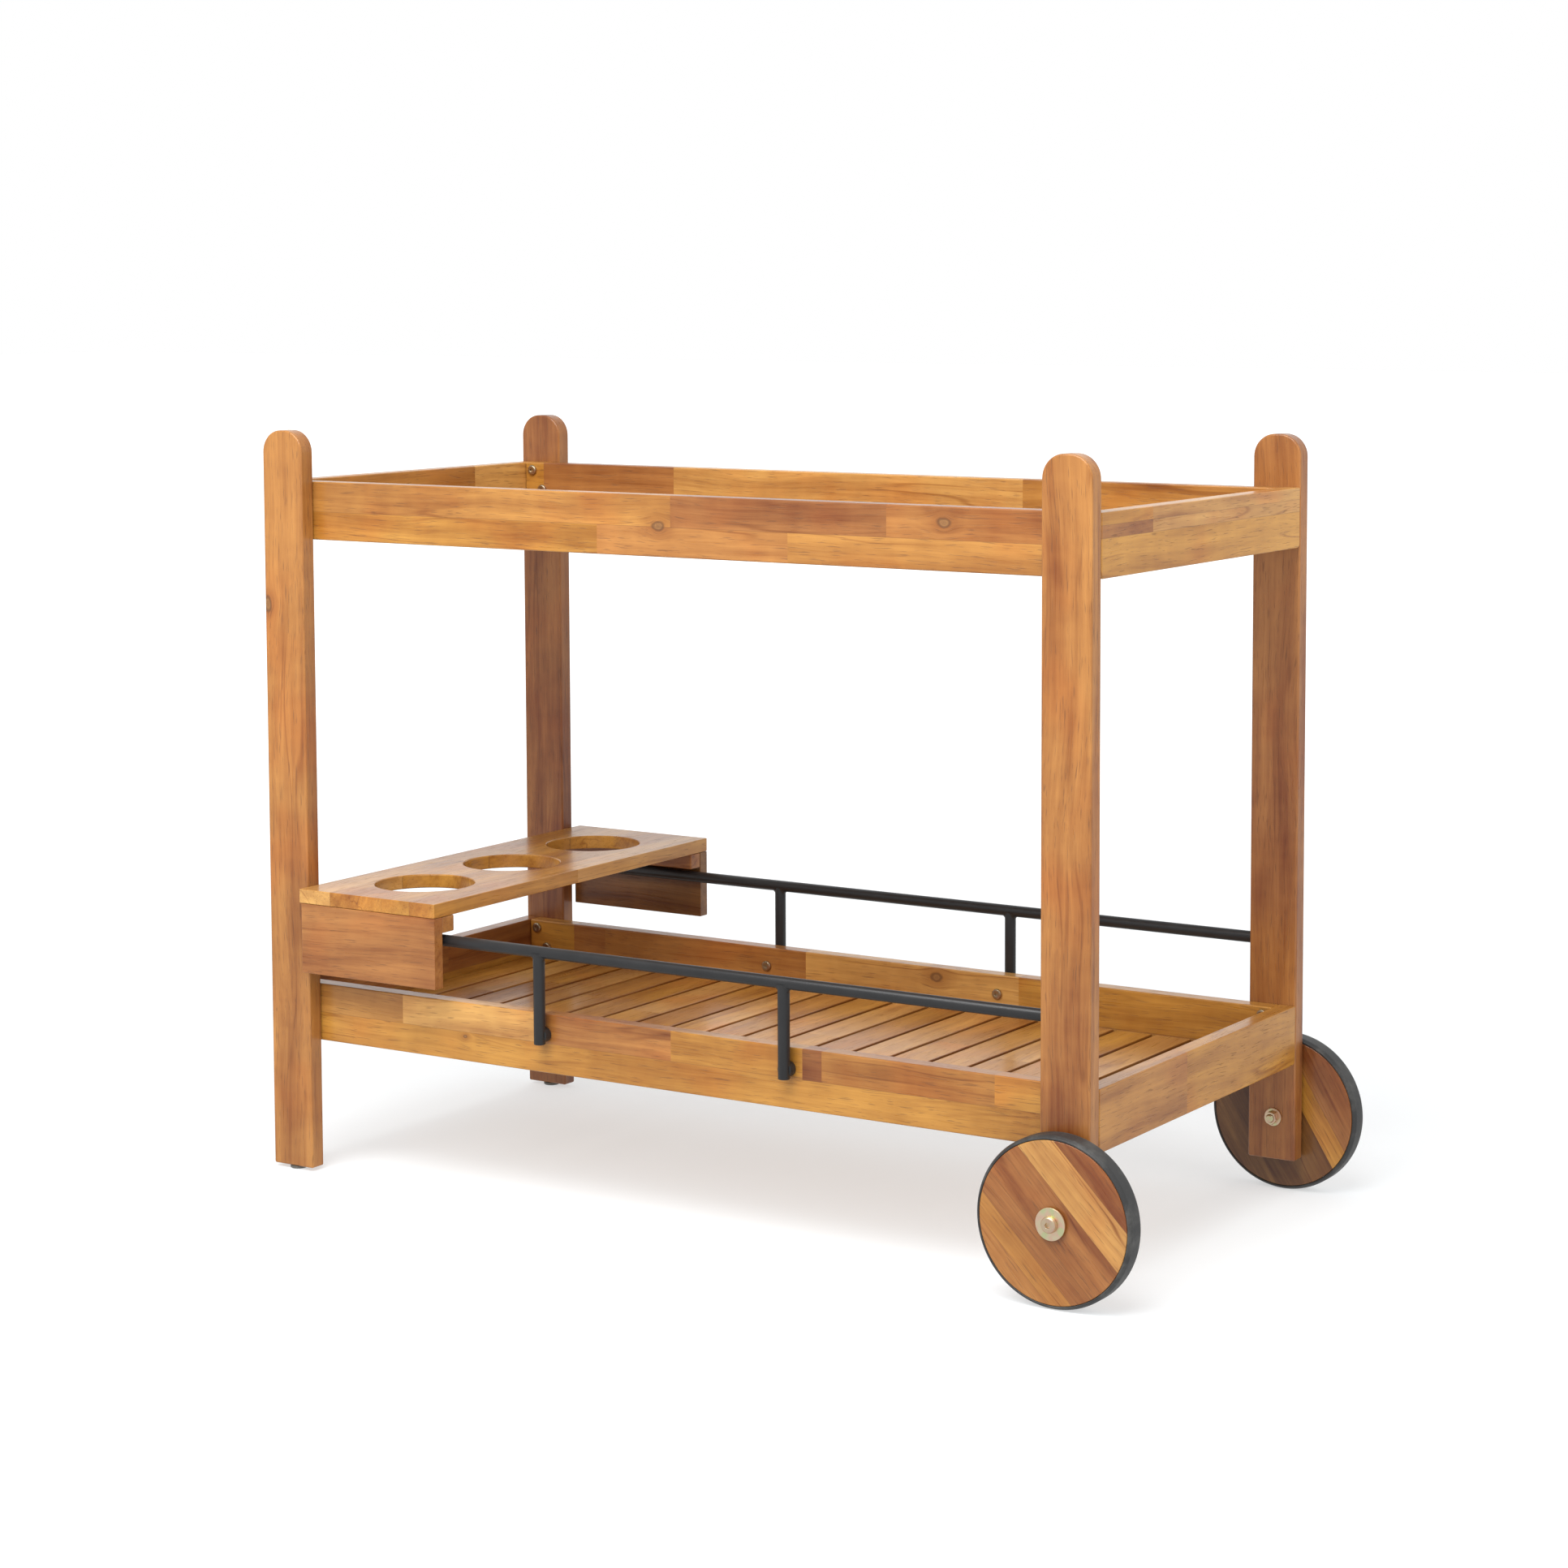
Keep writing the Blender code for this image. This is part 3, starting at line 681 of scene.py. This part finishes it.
def rounded_profile(points, radii, steps=4):
    """A closed profile with each corner rounded by its own radius."""
    made = []
    count = len(points)
    for index, (point, radius) in enumerate(zip(points, radii)):
        here = Vector(point)
        before = Vector(points[index - 1])
        after = Vector(points[(index + 1) % count])
        if radius <= 0.0:
            made.append(tuple(here))
            continue
        into = (before - here).normalized() * radius
        out = (after - here).normalized() * radius
        for step in range(steps + 1):
            share = step / steps
            first = here + into * (1 - share)
            second = here + out * share
            made.append(tuple(first * (1 - share) + second * share))
    return made


def outward(row):
    """The direction out of the cart through its front or back side."""
    return -Y if row == "front" else Y


def along_axle(row, centre):
    """Matrix whose local Z points out of the cart through the front or back side."""
    out = outward(row)
    side = X if row == "front" else -X
    return axes(side, out.cross(side), centre)


# --- Legs


def leg(node, material):
    """A leg board with a nearly semicircular top; local X is up and local Y is the cart's X."""
    _, _, centre, size = node_box(node)
    half, top = size.x / 2, size.z / 2
    outline = [(-top, -half), (-top, half)]
    for side, start in ((1, 0.0), (-1, math.pi / 2)):
        middle = (side * (half - LEG_TOP_RADIUS), top - LEG_TOP_RADIUS)
        outline += [(up, aside) for aside, up in quarter(middle, LEG_TOP_RADIUS, start, 14)]
    shape = eased(slab(outline, size.y), LEG_EASE)
    return weighted(new_piece(node, shape, axes(Z, X, centre), material, (node,)))


def legs():
    """The four legs, each one straight-grained board."""
    height = 0.85
    # The back legs' darker tones, russet and copper, are partly their own wood and partly painted
    # shade from the upper tray.
    boards = {
        "leg_left_front": ([(1.0, "amber")], ((0.2255, -0.024, -BOARD_FACE, 0.0065),), 3.1),
        "leg_left_back": ([(1.0, "russet")], (), 8.7),
        "leg_right_front": ([(0.42, "copper"), (1.0, "amber")], (), 12.4),
        "leg_right_back": ([(1.0, "copper")], (), 17.9),
    }
    for node, (blocks, knots, seed) in boards.items():
        lamellae = [(1.0, blocks)]
        leg(node, acacia(node + "_wood", height, lamellae, seed, 0.16, knots, 0.5, blend=True))


# --- Trays


def end_rail(node, material):
    """A rail across the cart, its lower corners rounded; local X is the cart's Y, local Y is up."""
    _, _, centre, size = node_box(node)
    half_x, half_y = size.y / 2, size.z / 2
    outline = [(half_x, half_y), (-half_x, half_y)]
    for side, start in ((-1, math.pi), (1, math.pi * 1.5)):
        middle = (side * (half_x - RAIL_CORNER), RAIL_CORNER - half_y)
        outline += quarter(middle, RAIL_CORNER, start, 5)
    shape = eased(slab(outline, size.x), RAIL_EASE)
    return weighted(new_piece(node, shape, axes(Y, Z, centre), material, (node,)))


def rails():
    """The eight rails of the two trays, each glued up from blocks of differing tone."""
    # The grain's length along the long rails and the end rails, and half a rail's height.
    length, span, top = 1.0254, 0.4614, 0.033
    upper_front = [
        (-0.001, [(0.42, "gold"), (0.66, "amber"), (1.0, "honey")]),
        (top, [(0.515, "honey"), (0.776, "russet"), (1.0, "amber")]),
    ]
    upper_front_knots = (
        (-0.289, 0.027, BOARD_FACE, 0.003),
        (-0.095, -0.003, BOARD_FACE, 0.0058),
        (0.3525, 0.0164, BOARD_FACE, 0.0060),
    )
    upper_back = [
        (-0.004, [(0.14, "amber"), (0.52, "copper"), (1.0, "copper")]),
        (top, [(0.026, "gold"), (0.217, "copper"), (0.688, "straw"), (1.0, "honey")]),
    ]
    lower_front_strip = [(0.152, "honey"), (0.343, "straw"), (0.511, "amber"), (0.675, "gold")]
    lower_front_strip += [(0.698, "russet"), (0.90, "honey"), (1.0, "gold")]
    lower_front = [
        (0.0, [(0.33, "gold"), (0.66, "gold"), (1.0, "gold")]),
        (top, lower_front_strip),
    ]
    # The lower back rail's inner face takes paler tones, partly its own wood and partly painted
    # light where the lamps leave it dim.
    lower_back_strip = [(0.064, "gold"), (0.113, "copper"), (0.399, "amber"), (0.685, "straw")]
    lower_back = [
        (-0.013, [(0.36, "honey"), (0.70, "straw"), (1.0, "straw")]),
        (top, lower_back_strip + [(1.0, "gold")]),
    ]
    lower_front_knot = (-0.268, -0.0052, BOARD_FACE, 0.0022)
    lower_back_knot = (0.082, 0.0215, BOARD_FACE, 0.0060)
    for node, lamellae, seed, figure, knots in (
        ("upper_rail_front", upper_front, 2.3, 0.16, upper_front_knots),
        ("upper_rail_back", upper_back, 21.7, 0.18, ()),
        ("lower_rail_front", lower_front, 5.9, 0.22, (lower_front_knot,)),
        ("lower_rail_back", lower_back, 33.3, 0.20, (lower_back_knot,)),
    ):
        board(node, X, Z, acacia(node + "_wood", length, lamellae, seed, figure, knots))
    upper_left = [
        (-0.003, [(0.4, "amber"), (1.0, "honey")]),
        (top, [(0.735, "honey"), (1.0, "straw")]),
    ]
    upper_right = [
        (0.007, [(0.55, "gold"), (1.0, "gold")]),
        (0.020, [(0.235, "amber"), (1.0, "straw")]),
        (top, [(0.235, "gold"), (1.0, "straw")]),
    ]
    lower_left = [
        (-0.006, [(0.5, "honey"), (1.0, "gold")]),
        (top, [(0.6, "copper"), (1.0, "russet")]),
    ]
    for node, lamellae, seed in (
        ("upper_rail_left", upper_left, 41.2),
        ("upper_rail_right", upper_right, 47.5),
        ("lower_rail_left", lower_left, 53.8),
        ("lower_rail_right", [(top, [(0.42, "honey"), (1.0, "gold")])], 59.4),
    ):
        end_rail(node, acacia(node + "_wood", span, lamellae, seed, 0.16))


def tray_floor(level, tones):
    """The slats of one tray, and the two bearers they lie on, in the place of the CAD panel."""
    node = level + "_slat_panel"
    low, high, centre, size = node_box(node)
    width = (size.x - (SLAT_COUNT - 1) * SLAT_SPACING) / SLAT_COUNT
    seat = high.z - SLAT_THICKNESS
    span = size.y
    for index in range(SLAT_COUNT):
        name = f"{level}_slat_{index + 1:02d}"
        tone, second = tones[index % len(tones)]
        # The joint between a slat's two blocks wanders from slat to slat.
        lamellae = [(1.0, [(0.35 + 0.37 * ((index * 7) % 5) / 4, tone), (1.0, second)])]
        seed = 60.0 + index * 3.3
        # Each slat's sides get painted shade, standing in for the shade in the gaps between slats.
        material = acacia(name + "_wood", span, lamellae, seed, 0.14, gap_shade_half_width=width / 2)
        shape = eased(box_shape((span, width, SLAT_THICKNESS)), SLAT_EASE, 3)
        left = low.x + index * (width + SLAT_SPACING)
        place = Vector((left + width / 2, centre.y, high.z - SLAT_THICKNESS / 2))
        weighted(new_piece(name, shape, axes(Y, X, place), material, (node,)))
    for row, side in (("front", -1), ("back", 1)):
        y = centre.y + side * (span / 2 - BEARER_DEPTH / 2)
        name = f"{level}_bearer_{row}"
        lamellae = [(1.0, [(0.45, "amber"), (1.0, "copper")])]
        material = acacia(name + "_wood", size.x, lamellae, 140.0 + y, 0.15)
        local = (size.x - 2 * BEARER_END_GAP, BEARER_DEPTH, seat - low.z)
        shape = eased(box_shape(local), BEARER_EASE, 2)
        place = Vector((centre.x, y, (seat + low.z) / 2))
        bearer = weighted(new_piece(name, shape, axes(X, Y, place), material))


# --- Bottle rack


def hole_cutter(depth, matrix, step, ease=RACK_HOLE_EASE):
    """A cutter for one bottle hole that flares at both faces, so that the rims come out eased."""
    radius, wide, half = RACK_HOLE_RADIUS, RACK_HOLE_RADIUS + 2 * ease, depth / 2
    profile = [(0.0, -half - ease), (wide, -half - ease)]
    for side, order in ((-1, range(5)), (1, range(4, -1, -1))):
        for turn in order:
            angle = math.pi / 2 * turn / 4
            flare, rise = ease * (1 - math.sin(angle)), ease * (1 - math.cos(angle))
            profile.append((radius + flare, side * (half - rise)))
    profile += [(wide, half + ease), (0.0, half + ease)]
    shape = turned_shape(profile, 96, closed=False)
    bmesh.ops.translate(shape, vec=(step * RACK_HOLE_PITCH, 0.0, 0.0), verts=shape.verts)
    bmesh.ops.recalc_face_normals(shape, faces=shape.faces)
    mesh = bpy.data.meshes.new("rack_cutter")
    shape.to_mesh(mesh)
    shape.free()
    cutter = bpy.data.objects.new("rack_cutter", mesh)
    bpy.context.scene.collection.objects.link(cutter)
    cutter.matrix_world = matrix
    return cutter


def rack_top():
    """The pierced top board of the bottle rack, its holes' rims eased."""
    node = "rack_top"
    _, _, centre, size = node_box(node)
    shape = eased(box_shape((size.y, size.x, size.z)), RACK_TOP_EASE)
    lamellae = [
        (-0.052, [(0.46, "straw"), (1.0, "gold")]),
        (0.022, [(1.0, "gold")]),
        (0.062, [(1.0, "gold")]),
        (0.100, [(0.5, "gold"), (1.0, "straw")]),
    ]
    material = acacia(node + "_wood", size.y, lamellae, 71.5, 0.16)
    piece = new_piece(node, shape, axes(Y, X, centre), material, (node,))
    for step in (-1, 0, 1):
        cutter = hole_cutter(size.z, piece.matrix_world, step)
        boolean = piece.modifiers.new("bottle hole", "BOOLEAN")
        boolean.operation = "DIFFERENCE"
        boolean.solver = "EXACT"
        boolean.object = cutter
        apply_modifiers(piece)
        bpy.data.objects.remove(cutter)
    piece.data.shade_smooth()
    piece.data.set_sharp_from_angle(angle=math.radians(SMOOTH_ANGLE))
    return weighted(piece)


def apply_modifiers(piece):
    """Make a piece's evaluated mesh its own."""
    bpy.context.view_layer.update()
    graph = bpy.context.evaluated_depsgraph_get()
    mesh = bpy.data.meshes.new_from_object(piece.evaluated_get(graph))
    piece.modifiers.clear()
    piece.data = mesh


def rack():
    """The bottle rack's boards."""
    rack_top()
    # The back side board's dark walnut tone is painted shade: the board is seen only in the shadow
    # beyond the rack.
    for row, tone, seed in (("front", "copper", 81.1), ("back", "walnut", 86.6)):
        node = "rack_side_" + row
        material = acacia(node + "_wood", 0.192, [(0.05, [(1.0, tone)])], seed, 0.18)
        board(node, X, Z, material, RACK_SIDE_EASE)
    for row, seed in (("front", 91.0), ("back", 95.0)):
        node = "rack_cleat_" + row
        lamellae = [(1.0, [(0.6, "copper"), (1.0, "amber")])]
        material = acacia(node + "_wood", 0.2, lamellae, seed, 0.15)
        board(node, X, Y, material, RACK_CLEAT_EASE)


# --- Guard rails


def rod_profile(radius, length, ease=0.0008):
    """The closed profile of a plain rod along local Z, ends eased."""
    return [
        (0.0, -length / 2),
        (radius - ease, -length / 2),
        (radius - ease * 0.3, -length / 2 + ease * 0.3),
        (radius, -length / 2 + ease),
        (radius, length / 2 - ease),
        (radius - ease * 0.3, length / 2 - ease * 0.3),
        (radius - ease, length / 2),
        (0.0, length / 2),
    ]


def weld_shape(radius, spread=0.0042, segments=72, rings=9):
    """A fillet weld round the top of a post, its upper rim lying on the bar's underside.

    The post and the bar share one radius. The weld spreads along the bar, and hardly round it.
    """
    shape = bmesh.new()
    loops = []
    for ring in range(rings + 1):
        share = ring / rings
        loop = []
        for step in range(segments):
            angle = math.tau * step / segments
            reach = spread * (0.12 + 0.88 * math.cos(angle) ** 2)
            ripple = 1.0 + 0.06 * math.sin(angle * 17.0) * math.sin(share * math.pi)
            bend = 1.0 - math.sin(share * math.pi / 2)
            grown = radius + reach * (1.0 - math.cos(share * math.pi / 2)) * ripple
            x, y = grown * math.cos(angle), grown * math.sin(angle)
            inside = min(abs(y), radius * 0.985)
            on_bar = -math.sqrt(radius**2 - inside**2)
            loop.append(shape.verts.new((x, y, on_bar - reach * bend + 0.0004 * share)))
        loops.append(loop)
    # Two hidden loops inside the post close the weld.
    inner = circle(shape, radius * 0.8, -radius * 0.3, segments)
    foot = []
    for vert in loops[0]:
        foot.append(shape.verts.new((vert.co.x * 0.8, vert.co.y * 0.8, vert.co.z)))
    return skin_loops(shape, [inner, foot] + loops)


def guard_rail(row):
    """A round bar with two welded posts, each on a short stub that stands on the long rail."""
    node = "guard_rail_" + row
    low, high, centre, size = node_box(node)
    leg_low, leg_high, leg_centre, _ = node_box("leg_left_" + row)
    top = high.z - BAR_RADIUS
    y = leg_centre.y
    bar = turned_shape(rod_profile(BAR_RADIUS, size.x), 48, closed=False)
    new_piece(node, bar, axes(Y, Z, Vector((centre.x, y, top))), STEEL, (node,))
    inside = leg_high.y if row == "front" else leg_low.y
    for side in ("left", "right"):
        screw = node_box(f"guard_screw_{row}_{side}")[2]
        length = top - low.z
        post = turned_shape(rod_profile(BAR_RADIUS, length), 48, closed=False)
        place = axes(X, Y, Vector((screw.x, y, low.z + length / 2)))
        post = new_piece(f"guard_post_{row}_{side}", post, place, STEEL)
        weld = weld_shape(BAR_RADIUS)
        place = axes(X, Y, Vector((screw.x, y, top)))
        weld = new_piece(f"guard_weld_{row}_{side}", weld, place, STEEL, smooth_angle=60.0)
        stub = rod_profile(STUB_RADIUS, abs(inside - y), 0.0005)
        stub = turned_shape(stub, 40, closed=False)
        place = along_axle(row, Vector((screw.x, (inside + y) / 2, screw.z)))
        stub = new_piece(f"guard_stub_{row}_{side}", stub, place, STEEL)


# --- Fasteners


def socket_head_profile(radius, height, socket, socket_depth, shank, shank_length):
    """A low domed head along +Z over a shank, with a round socket that hexed() shapes later."""
    dome = []
    for across, up in quarter((0.0, 0.0), 1.0, 0.0, 8):
        dome.append((radius * (0.74 + 0.26 * across), height * (0.34 + 0.66 * up)))
    foot = -shank_length
    return (
        [(0.0, foot), (shank * 0.8, foot), (shank, foot + shank * 0.3), (shank, 0.0)]
        + [(radius * 0.96, 0.0), (radius, height * 0.08)]
        + dome
        + [
            (socket * 1.12, height),
            (socket, height - 0.0002),
            (socket, height - socket_depth),
            (socket * 0.9, height - socket_depth),
            (0.0, height - socket_depth - socket * 0.25),
        ]
    )


def from_flat(angle):
    """How far an angle is from the middle of the hexagon's side it falls on."""
    return (angle % HEX_SECTOR) - HEX_SECTOR / 2


def hexed(shape, socket, height, socket_depth):
    """Push the socket's round wall out to a hexagon."""
    for vert in shape.verts:
        radius = math.hypot(vert.co.x, vert.co.y)
        in_socket = height - socket_depth - 1e-5 <= vert.co.z <= height - 0.0001
        if in_socket and socket * 0.85 < radius < socket * 1.05:
            angle = math.atan2(vert.co.y, vert.co.x)
            grown = radius * math.cos(HEX_SECTOR / 2) / math.cos(from_flat(angle)) * 1.08
            vert.co.x, vert.co.y = grown * math.cos(angle), grown * math.sin(angle)
    return shape


def screws():
    """The domed socket screws on the long rails' inner faces, their sockets turned at will."""
    radius, height, socket, deep, shank = SCREW_SIZES
    for node in sorted(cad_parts):
        if "_screw_" not in node:
            continue
        low, high, centre, size = node_box(node)
        row = "front" if centre.y < 0 else "back"
        inward = -outward(row)
        head_base = (high.y - height) if row == "front" else (low.y + height)
        length = size.y - height - 0.0005
        profile = socket_head_profile(radius, height, socket, deep, shank, length)
        shape = hexed(turned_shape(profile, 48, closed=False), socket, height, deep)
        turn = (sum(ord(letter) for letter in node) % 12) * math.radians(5)
        place = Vector((centre.x, head_base, centre.z))
        matrix = axes(X, inward.cross(X), place) @ Matrix.Rotation(turn, 4, "Z")
        new_piece(node, shape, matrix, ZINC_DULL, (node,))


def ring(node, row, material, ease=0.0004, segments=80):
    """A washer or spacer along the axle, with its edges eased."""
    _, _, centre, size = node_box(node)
    outer, half = size.x / 2, size.y / 2
    points = [(AXLE_BORE, -half), (outer, -half), (outer, half), (AXLE_BORE, half)]
    shape = turned_shape(rounded_profile(points, [ease] * 4), segments)
    new_piece(node, shape, along_axle(row, centre), material, (node,))


def nut(node, row, segments=72):
    """A hexagonal nut, its corners chamfered, bored for the bolt."""
    _, _, centre, size = node_box(node)
    half = size.y / 2
    shape = bmesh.new()
    loops = []
    corner = NUT_FLAT_RADIUS / math.cos(HEX_SECTOR / 2)
    for z, share in ((-half, 0.90), (-half + 0.0008, 1.0), (half - 0.0008, 1.0), (half, 0.90)):
        loop = []
        for step in range(segments):
            angle = math.tau * step / segments
            radius = min(NUT_FLAT_RADIUS / math.cos(from_flat(angle)), corner * share)
            x, y = radius * math.cos(angle), radius * math.sin(angle)
            loop.append(shape.verts.new((x, y, z)))
        loops.append(loop)
    inner, wide = half - 0.0006, AXLE_BORE + 0.0006
    for z, bore in ((half, wide), (inner, AXLE_BORE), (-inner, AXLE_BORE), (-half, wide)):
        loops.append(circle(shape, bore, z, segments))
    skin_loops(shape, loops)
    turned = along_axle(row, centre) @ Matrix.Rotation(math.radians(12), 4, "Z")
    new_piece(node, shape, turned, ZINC_WARM, (node,), smooth_angle=25.0)


def axle_bolt(row):
    """The axle bolt: a low round head with a hexagonal socket, and a threaded inner end."""
    node = "axle_bolt_" + row
    low, high, centre, size = node_box(node)
    height, socket, shank = BOLT_HEAD_HEIGHT, BOLT_SOCKET, BOLT_SHANK
    length = size.y - height
    profile = socket_head_profile(size.x / 2, height, socket, socket, shank, length)
    threads = []
    for index in range(THREAD_TURNS):
        crest = -length + 0.0006 + index * THREAD_PITCH
        threads += [(shank, crest), (shank - THREAD_DEPTH, crest + THREAD_PITCH / 2)]
    profile = profile[:2] + [(shank * 0.86, -length + 0.0002)] + threads + profile[3:]
    shape = hexed(turned_shape(profile, 64, closed=False), socket, height, socket)
    outer_face = low.y if row == "front" else high.y
    base = outer_face - outward(row).y * height
    place = Vector((centre.x, base, centre.z))
    new_piece(node, shape, along_axle(row, place), ZINC_WARM, (node,))


# --- Wheels


def wheel(row, degrees, staves, seed, veins):
    """A disc of edge-glued staves with a rubber band round it."""
    disc_node, tyre_node = "wheel_disc_" + row, "wheel_tyre_" + row
    body = "wheel_" + row
    _, _, centre, size = node_box(disc_node)
    outer, half = size.x / 2, size.y / 2
    points = [(AXLE_BORE, -half), (outer, -half), (outer, half), (AXLE_BORE, half)]
    shape = turned_shape(rounded_profile(points, [0.0005, 0.0012, 0.0012, 0.0005]), 160)
    lamellae = [(end, [(1.0, tone)]) for end, tone in staves]
    turn = math.radians(degrees)
    material = acacia(disc_node + "_wood", 2 * outer, lamellae, seed, 0.34, (), veins, turn)
    weighted(new_piece(disc_node, shape, axes(X, Z, centre), material, (disc_node,), body))
    _, _, centre, size = node_box(tyre_node)
    crown, half, inner = size.x / 2, size.y / 2, outer + 0.0003
    side, shoulder, lip = crown - 0.0022, 0.0042, 0.0006
    points = [
        (inner, -half + lip),
        (inner + lip, -half),
        (side, -half),
        (crown, -half + shoulder),
        (crown, half - shoulder),
        (side, half),
        (inner + lip, half),
        (inner, half - lip),
    ]
    radii = [0.0, 0.0003, 0.0008, 0.0013, 0.0013, 0.0008, 0.0003, 0.0]
    shape = turned_shape(rounded_profile(points, radii), 192)
    new_piece(tyre_node, shape, along_axle(row, centre), RUBBER, (tyre_node,), body)


def wheels():
    """Both wheels and everything on their axles."""
    # Each stave is (place across the disc where it ends, tone).
    front = [(-0.062, "amber"), (-0.041, "honey"), (-0.019, "russet")]
    front += [(0.0241, "copper"), (0.0599, "straw"), (0.1, "copper")]
    # The back wheel's three umber staves are painted shade: its visible inner face lies in shadow.
    back = [(-0.05, "umber"), (-0.02, "umber"), (0.022, "umber"), (0.045, "gold")]
    back += [(0.1, "russet")]
    wheel("front", 45, front, 101.7, 1.0)
    wheel("back", 58, back, 108.2, 0.8)
    for row in ("front", "back"):
        for name in ("wheel_outer_washer_", "wheel_second_washer_", "wheel_spacer_"):
            ring(name + row, row, ZINC)
        ring("axle_inner_washer_" + row, row, ZINC_WARM)
        nut("axle_nut_" + row, row)
        axle_bolt(row)


def glides():
    """The round nylon glides under the two legs that stand on the floor."""
    for row in ("front", "back"):
        node = "glide_" + row
        low, _, centre, size = node_box(node)
        radius, height = size.x / 2, size.z
        profile = [
            (0.0, 0.0),
            (radius * 0.80, 0.0),
            (radius * 0.92, 0.0003),
            (radius, 0.0011),
            (radius, height - 0.0002),
            (radius - 0.0003, height),
            (0.0, height),
        ]
        shape = turned_shape(profile, 48, closed=False)
        place = Vector((centre.x, centre.y, low.z))
        new_piece(node, shape, axes(X, Y, place), NYLON, (node,))


# --- Studio


def floor():
    """A wide pale floor that the cart's glossy surfaces do not mirror."""
    shape = bmesh.new()
    bmesh.ops.create_grid(shape, x_segments=2, y_segments=2, size=30.0)
    mesh = bpy.data.meshes.new("studio_floor")
    shape.to_mesh(mesh)
    shape.free()
    made, tree, shader = new_material("studio_floor")
    shader.inputs["Base Color"].default_value = (0.44, 0.46, 0.472, 1.0)
    # The floor glows faintly, and more far away, so that it meets the white surroundings unseen.
    place = tree.object_place()
    glow = tree.between(tree.vector("LENGTH", place), 1.0, 4.0, FLOOR_GLOW, 1.0)
    shader.inputs["Emission Color"].default_value = (1.0, 1.0, 1.0, 1.0)
    tree.feed(shader.inputs["Emission Strength"], glow)
    shader.inputs["Roughness"].default_value = 0.9
    shader.inputs["Specular IOR Level"].default_value = 0.15
    mesh.materials.append(made)
    item = bpy.data.objects.new("studio_floor", mesh)
    item.location.z = -0.0002
    item.visible_glossy = False
    bpy.context.scene.collection.objects.link(item)


def area_light(name, place, target, size, power, mirrored=False):
    """A rectangular softbox turned towards a point, mirrored by glossy surfaces or not."""
    data = bpy.data.lights.new(name, "AREA")
    data.shape = "RECTANGLE"
    data.size, data.size_y = size
    data.energy = power
    item = bpy.data.objects.new(name, data)
    item.location = place
    item.rotation_euler = (Vector(target) - Vector(place)).to_track_quat("-Z", "Y").to_euler()
    item.visible_glossy = mirrored
    bpy.context.scene.collection.objects.link(item)


def studio():
    """White surroundings, a key softbox overhead, and weaker ones in front and on the right."""
    world = bpy.data.worlds.new("studio")
    world.use_nodes = True
    tree = Tree(world.node_tree)
    background = world.node_tree.nodes["Background"]
    background.inputs["Color"].default_value = (1.0, 1.0, 1.0, 1.0)
    # The backdrop looks white, but it gives less light than that. Its reflection is bright behind
    # the cart, where the paper sweep stands, and dim all round, where the studio is dark.
    rays = tree.node("ShaderNodeLightPath").outputs
    direction = tree.node("ShaderNodeTexCoord").outputs["Generated"]
    sweep = tree.vector("LENGTH", tree.vector("SUBTRACT", direction, SWEEP_DIRECTION))
    sheen = tree.between(sweep, 0.45, 1.05, 1.0, DARK_STUDIO)
    strength = tree.between(rays["Is Diffuse Ray"], 0.0, 1.0, sheen, ROOM_LIGHT, smooth=False)
    strength = tree.between(rays["Is Camera Ray"], 0.0, 1.0, strength, 1.0, smooth=False)
    tree.feed(background.inputs["Strength"], strength)
    bpy.context.scene.world = world
    area_light("key", (0.3, -1.7, 3.1), (0.0, 0.0, 0.3), (2.8, 1.5), 92.0, mirrored=True)
    area_light("front", (-0.3, -2.7, 2.15), (0.0, 0.0, 0.35), (2.6, 1.5), 50.0)
    area_light("right", (3.2, -0.6, 1.5), (0.0, 0.0, 0.4), (1.6, 1.6), 27.0)
    bpy.context.scene.view_settings.view_transform = "Standard"


def camera():
    """The camera at the product view's angle."""
    data = bpy.data.cameras.new("camera")
    data.sensor_width = 36.0
    data.lens = CAMERA_LENS
    data.shift_x, data.shift_y = CAMERA_SHIFT
    data.clip_start, data.clip_end = 0.05, 100.0
    item = bpy.data.objects.new("camera", data)
    item.location = CAMERA_PLACE
    item.rotation_euler = [math.radians(angle) for angle in CAMERA_TURN]
    bpy.context.scene.collection.objects.link(item)
    bpy.context.scene.camera = item


legs()
rails()
tray_floor("lower", LOWER_SLAT_TONES_AND_LIGHT)
tray_floor("upper", UPPER_SLAT_TONES)
rack()
for side_row in ("front", "back"):
    guard_rail(side_row)
screws()
wheels()
glides()
floor()
studio()
camera()
